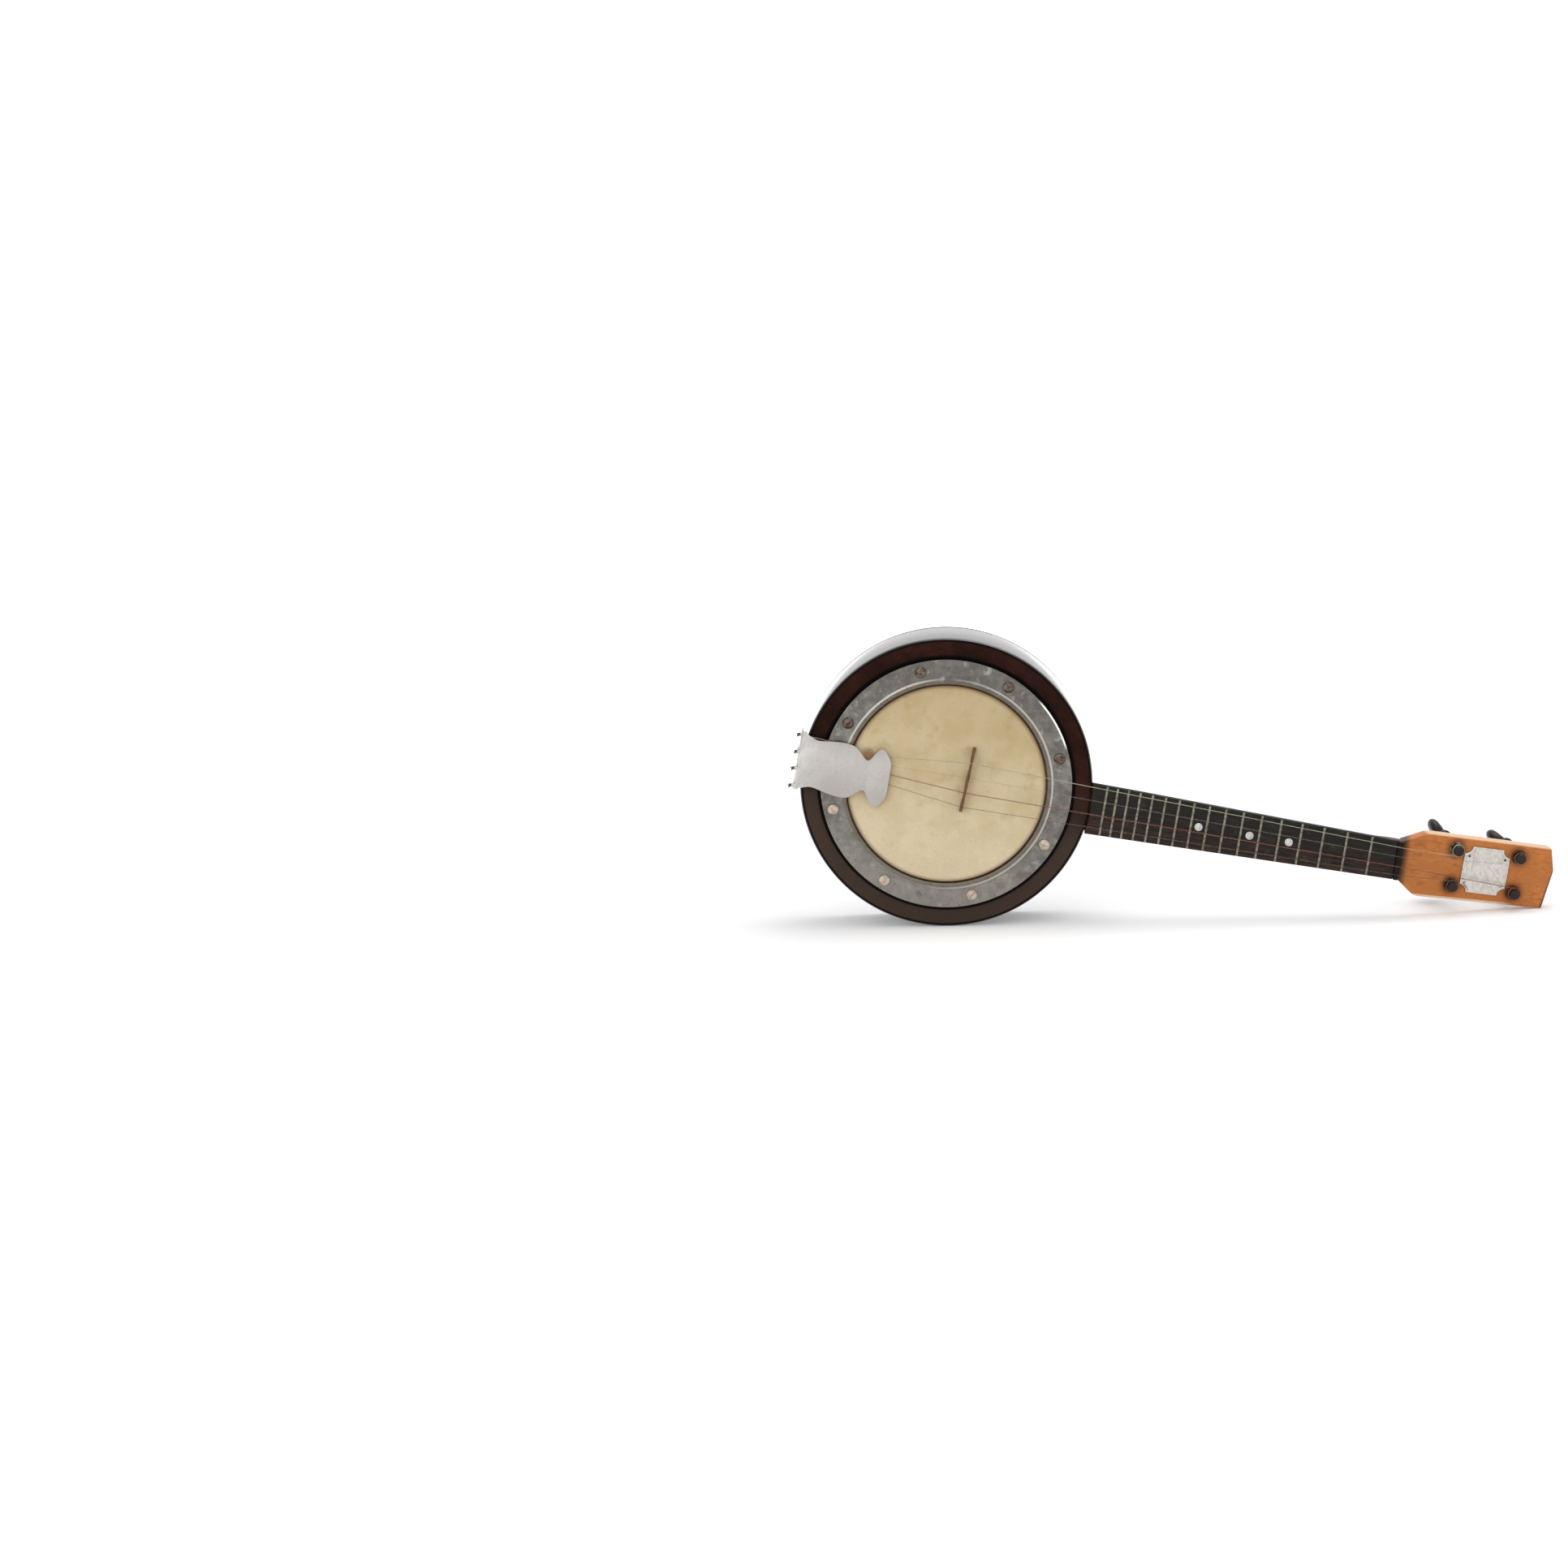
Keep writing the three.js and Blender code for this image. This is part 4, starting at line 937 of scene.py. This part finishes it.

# %% [markdown]
# Neck, heel and headstock are one piece of birch. The headstock still shows its orange stain and
# the straight grain, browner at the gable, and rubbed pale along its lower side; along the shaft
# hands have darkened it. Round the pegs it is browner, partly stain and partly the posts' painted
# shadow, and its upper side is painted pale, as a highlight from the lamp above. A picture of wood
# would smear where the shaft turns round, so the grain is noise in the wood itself: it runs along
# the neck and is long in X. The headstock's lower side slants a little, so its zone is measured
# from a slanting line.

# %% Stained birch
bend = 334.02
peg_places = [(40.2, 13.3), (87.6, 13.3), (87.6, -13.3), (40.2, -13.3)]
head_peak = 6
shaft_zone = (341, 334.5)
peg_stain_and_shadow_zone = (10, 5.5)
upper_side_highlight_zone = (21.3, 22.2)
lower_side_slope = -0.0275
lower_side_offset = 12.18
lower_side_zone = (-20.2, -21.2)
lower_side_end = (424, 408)
gable_slope = 0.17
gable_zone = (445, 446.6)
neck_birch, tree, shader, place = new_finish(
    "stained_birch", Roughness=0.42, Coat_Weight=0.12, Coat_Roughness=0.3,
)
shader.inputs["Specular IOR Level"].default_value = 0.2
sides = add(tree, "ShaderNodeSeparateXYZ", {0: place})
along, across = sides.outputs["X"], sides.outputs["Z"]
grain = patches(tree, place, 1.6, (22, 0.8, 0.8), 0.34, 0.68, detail=5)
fine = patches(tree, place, 0.6, (30, 0.8, 0.8), 0.4, 0.75, detail=4, apart=7)
cloud = patches(tree, place, 14, (1.8, 1, 0.8), 0.4, 0.7, detail=4, apart=3)
dark = patches(tree, place, 7, (2.2, 1, 0.7), 0.56, 0.78, detail=4, apart=12)
# Browner round each peg: stain, with the post's shadow painted in.
peg_stains_and_shadows = [
    ([(from_axis(tree, place, bend + cos(head_pitch) * x, z), *peg_stain_and_shadow_zone), 0.5], "6b3417")
    for x, z in peg_places
]
slant = add(tree, "ShaderNodeMath", {
    0: along, 1: lower_side_slope, 2: lower_side_offset,
}, operation="MULTIPLY_ADD")
low_side = add(tree, "ShaderNodeMath", {0: slant, 1: across}, operation="ADD")
from_peak = add(tree, "ShaderNodeMath", {0: across, 1: head_peak}, operation="SUBTRACT")
from_peak = add(tree, "ShaderNodeMath", {0: from_peak}, operation="ABSOLUTE")
to_gable = add(tree, "ShaderNodeMath", {
    0: from_peak, 1: gable_slope, 2: along,
}, operation="MULTIPLY_ADD")
colour_with(tree, shader, [
    "bb6b2e", (grain, "cf803d"), ([fine, 0.5], "dc9857"), (cloud, "c07439"),
    ([dark, 0.6], "8a4a20"), *peg_stains_and_shadows,
    ([(low_side, *lower_side_zone), (along, *lower_side_end), 0.85], "f6d8c0"),
    # Painted highlight: the upper side is paler, as if lit from above.
    ([(across, *upper_side_highlight_zone), 0.85], "f0c8a6"),
    ([(to_gable, *gable_zone), 0.7], "4a2410"),
    ([(along, *shaft_zone), 0.92], "1e120c"),
], relief=(grain, 0.05, 0.3))
print(len(tree.nodes), "nodes in the birch")

# %% [markdown]
# The shaft could be a box with smoothed corners, but then its width at the pot and at the nut
# would only be near enough for the fingerboard. So it is lofted: a grid is wrapped round it, one
# row of points for each cross-section. A section is flat in front and round behind, deeper at the
# heel, and it squares up towards the headstock so that the two meet. Its first row lies on the
# round side of the pot.

# %% Neck
nut_face = 330.02
neck_width_at_pot = 37.4
neck_width_at_nut = 28.4
depth_at_nut = 15
depth_at_heel = 18
heel_depth = 44
heel_length = 46
heel_taper = 0.4
shaft_fullness = 2.1
heel_fullness = 0.9
square_fullness = 4
square_run = 24
square_rise = 2.6
shaft_overlap = 2.5
front_sink = 0.4
sink_run = 1
row_crowding = 1.6


def smooth_step(share):
    """Rises softly from 0 to 1 as the share does, and stays level outside."""
    share = min(1, max(0, share))
    return share * share * (3 - 2 * share)


def neck_width(x):
    """The width of the neck at a distance from the pot's axis."""
    share = (x - pot_radius) / (nut_face - pot_radius)
    return neck_width_at_pot + (neck_width_at_nut - neck_width_at_pot) * share


def neck_point(along, round_share):
    """A point of the shaft's skin: along runs from pot to bend, round_share once round it."""
    angle = 2 * pi * round_share
    behind = round_share < 0.5
    side = cos(angle) if behind else 4 * round_share - 3
    start = sqrt((pot_radius + seat_gap) ** 2 - (neck_width_at_pot / 2 * side) ** 2)
    x = start + (bend + shaft_overlap - start) * along ** row_crowding
    heel = smooth_step(1 - (x - pot_radius) / heel_length)
    square = smooth_step((x - bend + square_run) / square_run)
    fullness = shaft_fullness + heel_fullness * heel + square_fullness * square
    shaft = depth_at_nut + (depth_at_heel - depth_at_nut) * (nut_face - x) / (nut_face - pot_radius)
    depth = shaft + (heel_depth - shaft) * heel - square_rise * square
    front = max(0, (x - bend) * sin(head_pitch) + front_sink) if x > bend - sink_run else 0
    if not behind:
        return Vector((x, front, neck_width(x) / 2 * side))
    bulge = max(0, sin(angle)) ** (2 / fullness)
    round_side = abs(side) ** (2 / fullness) * (1 if side > 0 else -1)
    round_side *= 1 - heel_taper * heel * bulge
    return Vector((x, front + (depth - front) * bulge, neck_width(x) / 2 * round_side))


shaft = bmesh.new()
bmesh.ops.create_grid(shaft, x_segments=90, y_segments=64, size=0.5)
for vert in shaft.verts:
    vert.co = neck_point(vert.co.x + 0.5, vert.co.y + 0.5)
bmesh.ops.remove_doubles(shaft, verts=shaft.verts, dist=merge_distance)
bmesh.ops.holes_fill(shaft, edges=shaft.edges[:], sides=0)
print(len(shaft.faces), "faces in the shaft")

# %% [markdown]
# The headstock is a board with a shallow, lopsided gable, pitched back from the nut. Its lower
# shoulder is a little wider and nearer to the nut than the upper one. The loft could run on to its
# end, but these corners are those of a sawn board, so it is an outline thickened, with edges
# rounded by about a millimetre. Four round holes go through it, and shaft and board are united.

# %% Headstock
head_thickness = 12
head_half_width = 22.4
head_length = 111.4
head_gable = 4.2
lower_flare = 14.6
upper_flare = 18
shoulder_drop = 2.6
peg_hole_radius = 4.6
hole_overrun = 4
head_place = at_rest @ Matrix.Translation((bend, 0, 0)) @ Matrix.Rotation(head_pitch, 4, "Z")
level_from_head = at_rest.inverted() @ head_place
root_half = neck_width(bend) / 2
head = slab([
    (0, 0, -root_half), (lower_flare, 0, -head_half_width - shoulder_drop),
    (head_length, 0, -head_half_width), (head_length + head_gable, 0, head_peak),
    (head_length, 0, head_half_width), (upper_flare, 0, head_half_width), (0, 0, root_half),
], (0, head_thickness, 0), rim=0.9, rounds=[(1, 3), (2, 1), (3, 1), (4, 1), (5, 3)])
peg_holes = bmesh.new()
for along, across in peg_places:
    hole = bmesh.ops.create_cone(
        peg_holes, cap_ends=True, segments=32, radius1=peg_hole_radius,
        radius2=peg_hole_radius, depth=head_thickness + 2 * hole_overrun,
    )["verts"]
    bmesh.ops.rotate(peg_holes, verts=hole, matrix=Matrix.Rotation(pi / 2, 3, "X"))
    bmesh.ops.translate(peg_holes, vec=(along, head_thickness / 2, across), verts=hole)
head = carved(head, peg_holes)
head.transform(level_from_head)
seat(
    "neck_and_headstock", carved(shaft, head, "UNION"), neck_birch,
    ["neck"],
)

# %% [markdown]
# The fingerboard is pearwood dyed black. It is worn between the frets, and along its lower half
# the dye has turned reddish brown. A tapered box would do but for the near end, which follows the
# round side of the pot, so the board is an outline with that arc in it.

# %% Fingerboard
reddish_zone = (6, -14)
board_dye, tree, shader, place = new_finish("black_dyed_pearwood", Roughness=0.55)
shader.inputs["Specular IOR Level"].default_value = 0.15
across = add(tree, "ShaderNodeSeparateXYZ", {0: place}).outputs["Z"]
grain = patches(tree, place, 1.4, (18, 1, 0.9), 0.4, 0.7, detail=5)
worn = patches(tree, place, 5, (1.6, 1, 1.2), 0.54, 0.74, detail=4, apart=5)
colour_with(tree, shader, [
    "1f1e1a", (grain, "2b2925"), ([(across, *reddish_zone), grain], "4c2c25"),
    ([worn, 0.45], "4b423a"),
], relief=(grain, 0.06, 0.35))

board_top = 4.0
board_start = [
    (sqrt((pot_radius + seat_gap) ** 2 - z * z), z)
    for z in [neck_width_at_pot / 2 * (step / 8 - 1) for step in range(17)]
]
board_end = [(nut_face, neck_width_at_nut / 2), (nut_face, -neck_width_at_nut / 2)]
board = slab(
    [(x, -seat_gap, z) for x, z in [*board_start, *board_end]],
    (0, seat_gap - board_top, 0), rim=0.35,
)
seat("fingerboard_slip", board, board_dye, ["fingerboard"])

# %% [markdown]
# Fret wire is a rounded crown on a thin tang. A curve with a round section would be quick, but
# only the crown shows, so each fret is half an ellipse drawn across the wire and thickened across
# the neck, with its ends filed round. The twelfth-root rule gives the places: each fret leaves the
# string 5.6 per cent shorter.

# %% Frets
fret_wire, tree, shader, place = new_finish("worn_fret_brass", Metallic=0.9, Roughness=0.4)
tarnish = patches(tree, place, 2.5, low=0.4, high=0.62, detail=4)
colour_with(tree, shader, ["8d887c", (tarnish, "686355")], relief=(tarnish, 0.03, 0.3))

scale_length = 343
fret_half_width = 1.1
fret_top = 5.15
fret_inset = 0.3
crown_foot = board_top - 0.1
fret_places = [nut_face - scale_length * (1 - 2 ** (-number / 12)) for number in range(18)]
for number, x in enumerate(fret_places[1:], 1):
    reach = neck_width(x) / 2 - fret_inset
    crown = [
        (
            x + fret_half_width * cos(step * pi / 10),
            -crown_foot - (fret_top - crown_foot) * sin(step * pi / 10), -reach,
        )
        for step in range(11)
    ]
    wire_piece = slab(crown, (0, 0, 2 * reach), rim=0.3, segments=2)
    seat(f"fret_wire_{number}", wire_piece, fret_wire, [f"fret_{number}"])

# %% [markdown]
# Three small dots of shell mark the fifth, seventh and tenth frets. They could be a mere patch in
# the board's colours, but real ones are let in and stand a hair proud, so each is a low turned
# disc. The nut is ebony with a rounded top, and its four notches are cut as the bridge's are.

# %% Dots and nut
shell_dot, tree, shader, place = new_finish(
    "polished_shell", Roughness=0.22, Coat_Weight=0.4, Subsurface_Weight=0.1,
)
shader.inputs["Subsurface Scale"].default_value = 0.5 * MILLIMETRE
sheen = patches(tree, place, 1.8, (1, 1, 2), 0.38, 0.64, detail=3)
colour_with(tree, shader, ["e6e5e0", (sheen, "bfc0bd")])
dot_radius = 2.95
dot_foot = 2.8
dot_rim = board_top + 0.04
dot_crown = board_top + 0.08
for number in (5, 7, 10):
    x = (fret_places[number] + fret_places[number - 1]) / 2
    dot = turned([
        (0, -dot_crown), (dot_radius, -dot_rim), (dot_radius, -dot_foot), (0, -dot_foot),
    ], rounds=[(1, 0.15)], steps=48)
    bmesh.ops.translate(dot, vec=(x, 0, 0), verts=dot.verts)
    seat(f"shell_dot_{number}", dot, shell_dot, [f"position_dot_{number}"])

nut_ebony, tree, shader, place = new_finish("ebony", Roughness=0.5)
shader.inputs["Specular IOR Level"].default_value = 0.12
streak = patches(tree, place, 0.8, (1, 1, 8), 0.5, 0.75, detail=4)
colour_with(tree, shader, ["171311", (streak, "33271f")], relief=(streak, 0.03, 0.3))

nut_top = 5.95
nut_notch_shares = [0.36, 0.12, -0.14, -0.36]
nut_start = nut_face + seat_gap
nut = slab([
    (nut_start, -seat_gap, -root_half), (bend, -seat_gap, -root_half),
    (bend, -nut_top, -root_half), (nut_start, -nut_top, -root_half),
], (0, 0, 2 * root_half), rim=0.4, rounds=[(2, 1.4), (3, 0.6)])
nut_middle = (nut_face + bend) / 2
notches = notch_rods(
    [(nut_middle, -nut_top, share * 2 * root_half) for share in nut_notch_shares],
    length=10,
)
seat("nut_block", carved(nut, notches), nut_ebony, ["nut"])

# %% [markdown]
# The badge between the pegs is a plain stamped plate with scooped corners and a fine groove round
# its edge, held by four small domed pins. The groove could be a relief in the finish, but insets
# that step in and out of the face catch the light from every side. The face is mottled, as old
# polished tin is.

# %% Headstock plate
plate_metal, tree, shader, place = new_finish("mottled_white_metal", Metallic=0.75, Roughness=0.36)
mottle = patches(tree, place, 3, low=0.4, high=0.64, detail=5)
spot = patches(tree, place, 0.9, low=0.6, high=0.7, detail=3, apart=4)
colour_with(
    tree, shader, ["d3cfc8", ([mottle, 0.8], "bcb7af"), ([spot, 0.4], "8a7e71")],
    relief=(mottle, 0.03, 0.2),
)

plate_middle = 63.9
plate_half_length = 17.2
plate_half_width = 17.0
scoop = 5.5
plate_front = -1.3
groove_inset = 1.3
groove_half = 0.25
groove_depth = 0.18
corners = [(1, 1, 180, 270), (-1, 1, 270, 360), (-1, -1, 0, 90), (1, -1, 90, 180)]
outline = []
for x, z, end, start in corners:
    for step in range(9):
        angle = radians(start + (end - start) * step / 8)
        outline.append((
            plate_middle + x * plate_half_length + scoop * cos(angle), -seat_gap,
            z * plate_half_width + scoop * sin(angle),
        ))
plate = slab(outline, (0, plate_front + seat_gap, 0), rim=0.2)
plate.normal_update()
face = min(plate.faces, key=lambda f: f.calc_center_median().y - 0.001 * f.calc_area())
for inset, depth in (
    (groove_inset, 0), (groove_half, -groove_depth), (groove_half, groove_depth),
):
    bmesh.ops.inset_region(plate, faces=[face], thickness=inset, depth=depth)
seat("plain_plate", plate, plate_metal, ["headstock_plate"], place=head_place)

pin_end_inset = 3.6
pin_side_inset = 7.2
pin_radius = 1
pin_dome = 0.5
pin_shank = 0.5
pin_length = 5
pin_tip = 1
pin_along = plate_half_length - pin_end_inset
pin_across = plate_half_width - pin_side_inset
pin_spots = [(plate_middle + x * pin_along, z * pin_across) for x in (1, -1) for z in (1, -1)]
for number, (along, across) in enumerate(pin_spots, 1):
    pin = turned([
        *[(pin_radius * sin(s * pi / 12), -pin_dome * cos(s * pi / 12)) for s in range(7)],
        (pin_shank, 0), (pin_shank, pin_length - pin_tip), (0, pin_length),
    ], steps=24)
    where = head_place @ Matrix.Translation((along, plate_front - seat_gap, across))
    seat(f"plate_nail_{number}", pin, screw_metal, [f"plate_pin_{number}"],
         place=where)

# %% [markdown]
# Friction pegs are turned from hardwood and dyed black, and the dye has rubbed off in spots. The
# bushings at their posts are plated, and the plating is stained. The first one is still pale, and
# the other three have gone brown. Two materials could say so, but the zones already know where
# each bushing stands, so one is enough.

# %% Peg and bushing finishes
peg_dye, tree, shader, place = new_finish("black_dyed_hardwood", Roughness=0.35, Coat_Weight=0.2)
shader.inputs["Specular IOR Level"].default_value = 0.2
streak = patches(tree, place, 1.2, (0.8, 5, 0.8), 0.45, 0.72, detail=4)
worn = patches(tree, place, 2.2, low=0.58, high=0.72, detail=4, apart=5)
colour_with(
    tree, shader, ["1a0f09", (streak, "30190f"), ([worn, 0.5], "4a2a18")],
    relief=(streak, 0.04, 0.25),
)

far_zone = (385, 400)
lower_row_zone = (5, -5)
bushing_metal, tree, shader, place = new_finish("tarnished_bushing", Metallic=0.8, Roughness=0.42)
stain = patches(tree, place, 3, low=0.4, high=0.62, detail=4)
sides = add(tree, "ShaderNodeSeparateXYZ", {0: place})
browned = add(tree, "ShaderNodeMath", {
    0: share_of(tree, (sides.outputs["X"], *far_zone)),
    1: share_of(tree, (sides.outputs["Z"], *lower_row_zone)),
}, operation="MAXIMUM")
colour_with(
    tree, shader, ["8d8372", (stain, "3b2c20"), ([browned, 0.9], "5a3019")],
    relief=(stain, 0.04, 0.3),
)
print("dyed wood and tarnished metal")

# %% [markdown]
# In front only a short post of a peg shows, with the string round it. Behind the headstock come a
# collar, a bulb and a flat thumb-piece. All but the thumb-piece is turned in one go. That could be
# cut from a board, but its rim is round all along, so it is a ball, flattened, with its middle
# pressed in a little and its near end sunk into the stem. Each peg stands turned as the player
# left it. A bushing is a short ring round each post.

# %% Pegs and bushings
post_height = 9
post_radius = 3.6
tail_radius = 4.4
collar_radius = 5.6
collar_height = 2
bulb_radius = 6.2
bulb_half = 4
peg_reach = 28
thumb_half = Vector((12.6, 11.85, 6))
thumb_dish = 0.4
thumb_sink = 2
thumb_turns = [50, 29, 118, 160]
bushing_bore = 3.9
bushing_radius = 5.5
bushing_front = 1.5

collar_start = head_thickness + seat_gap
collar_end = collar_start + collar_height
peg_end = head_thickness + peg_reach
bulb_middle = peg_end - bulb_half
profile = [
    (0, -post_height), (post_radius, -post_height), (post_radius, 0),
    (tail_radius, collar_start), (collar_radius, collar_start), (collar_radius, collar_end),
    (tail_radius, collar_end + seat_gap), (post_radius, bulb_middle - bulb_half),
    *[
        (bulb_radius * cos(radians(angle)), bulb_middle + bulb_half * sin(radians(angle)))
        for angle in range(-60, 61, 12)
    ],
    (0, peg_end),
]
for number, ((along, across), turn) in enumerate(zip(peg_places, thumb_turns), 1):
    stem = turned(profile, rounds=[(5, 0.6), (4, 0.3), (1, 1.1)], steps=48)
    thumb = bmesh.new()
    bmesh.ops.create_uvsphere(thumb, u_segments=48, v_segments=24, radius=1)
    for vert in thumb.verts:
        inwards = 1 - vert.co.x ** 2 - vert.co.y ** 2
        vert.co.z *= 1 - thumb_dish * max(0, inwards) ** 2
    bmesh.ops.scale(thumb, vec=thumb_half, verts=thumb.verts)
    bmesh.ops.translate(thumb, vec=(0, peg_end + thumb_half.y - thumb_sink, 0), verts=thumb.verts)
    spot = head_place @ Matrix.Translation((along, 0, across))
    seat(
        f"turned_peg_{number}", joined(stem, thumb), peg_dye, [f"peg_{number}"],
        body=f"tuning_peg_{number}", place=spot @ Matrix.Rotation(radians(turn), 4, "Y"),
    )
    bushing = turned([
        (bushing_bore, -seat_gap), (bushing_bore, -bushing_front),
        (bushing_radius, -bushing_front), (bushing_radius, -seat_gap),
    ], rounds=[(1, 0.3), (2, 0.5)], steps=48)
    seat(
        f"bushing_{number}", bushing, bushing_metal, [f"peg_bushing_{number}"],
        place=spot,
    )

# %% [markdown]
# The strings are gut, each of another age, so each has its own tint and lets some light through. A
# string comes up from its hook, passes under the plate and over the bridge and the nut, and goes
# two or three times round its peg. Its windings could be placed by hand, but one helix fits every
# peg if it starts where the string meets the post along a tangent.

# %% Route of a string
hook_top = tail_front - hook_span - hook_rise
loop_drop = 1.6
string_at_tail = [13.4, 6.7, 0.2, -7.2]
winding_turns = [2.6, 2.2, 2.4, 2.7]
winding_start = 6.6
winding_gap = 0.5
steps_in_turn = 48


def string_route(number):
    """The points of one string, in level millimetres."""
    radius = string_diameters[number] / 2
    across = hook_shares[number] * tail_half_width
    under = tail_back + seat_gap + radius
    behind = -tail_reach - hook_span - seat_gap - radius
    on_bridge = bridge_notch_shares[number] * bridge_length
    past_nut = Vector((bend + seat_gap, -nut_top, nut_notch_shares[number] * 2 * root_half))
    points = [
        Vector((behind, hook_top + loop_drop, across)),
        Vector((behind, under - radius, across)),
        Vector((behind + 2 * radius, under, across)),
        Vector((-tail_reach + tail_length + seat_gap, under, string_at_tail[number])),
        Vector((
            bridge_spot.x + on_bridge * sin(bridge_skew), bridge_spot.y - bridge_height,
            bridge_spot.z + on_bridge * cos(bridge_skew),
        )),
        past_nut,
    ]
    along, peg_across = peg_places[number]
    side = 1 if peg_across > 0 else -1
    reach = post_radius + seat_gap + radius
    start = level_from_head.inverted() @ past_nut
    away = Vector((start.x - along, side * (start.z - peg_across)))
    meets = atan2(away.y, away.x) + acos(reach / away.length)
    for step in range(round(winding_turns[number] * steps_in_turn) + 1):
        turn = step / steps_in_turn
        angle = meets + 2 * pi * turn
        height = winding_start - (2 * radius + winding_gap) * turn
        points.append(level_from_head @ Vector((
            along + reach * cos(angle), -height, peg_across + side * reach * sin(angle),
        )))
    return points


print([len(string_route(number)) for number in range(4)], "points on the strings")

# %% [markdown]
# Each string is a curve of straight stretches with a round section. A thin turned rod for each
# stretch would leave gaps at the bends, and a curve keeps its thickness round them. How dense the
# gut looks is set on the shader, so that see-through strings stay faint over the vellum.

# %% Strings
string_tints = [("b9b79c", 0.5), ("a39c8c", 0.14), ("8a4c3a", 0.4), ("5f5b52", 0.28)]
for number, (tint, density) in enumerate(string_tints):
    gut, tree, shader, place = new_finish(
        f"gut_{number + 1}", Roughness=0.4, Alpha=density,
    )
    worn = patches(tree, place, 6, (2, 1, 1), 0.4, 0.65, detail=3, apart=number)
    colour_with(tree, shader, [tint, ([worn, 0.4], "8d8576")])
    line = bpy.data.curves.new(f"string_line_{number + 1}", "CURVE")
    line.dimensions = "3D"
    line.bevel_depth = string_diameters[number] / 2 * MILLIMETRE
    line.bevel_resolution = 3
    line.use_fill_caps = True
    spline = line.splines.new("POLY")
    route = [at_rest @ point for point in string_route(number)]
    spline.points.add(len(route) - 1)
    for knot, point in zip(spline.points, route):
        knot.co = (*point, 1)
    line.materials.append(gut)
    string = bpy.data.objects.new(f"gut_string_{number + 1}", line)
    scene.collection.objects.link(string)
    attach(string, "instrument")
    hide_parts(f"string_{number + 1}")
    dress([f"string_{number + 1}"], gut)
print(len(string_tints), "strings")

# %% [markdown]
# Inside the pot the imported model's own solids stay: the laminated maple rim, the dowel stick, the
# rim that the head is stretched over and the hoop in the head's edge. They could be drawn again
# with softer edges, but hardly anything of them shows, so they only get a finish. The maple is
# painted near black at its front, as shade in the gap beside the hoop.

# %% Inside the pot
front_gap_shade_zone = (6, 3)
maple, tree, shader, place = new_finish("bare_maple", Roughness=0.6)
ply = patches(tree, place, 1.5, (12, 0.4, 12), 0.4, 0.66, detail=4)
depth = add(tree, "ShaderNodeSeparateXYZ", {0: place}).outputs["Y"]
# Painted shade: near black at the front, in the gap beside the hoop.
colour_with(
    tree, shader, ["b98a55", (ply, "a2733f"), ([(depth, *front_gap_shade_zone), 0.92], "20120c")],
    relief=(ply, 0.05, 0.3),
)
dress(["pot_rim", "dowel_stick"], maple)
dress(["bearing_rim", "flesh_hoop"], dull_nickel)
bare = [name for name, part in frame["nodes"].items() if not part.data.materials]
print("nodes without a finish:", bare)
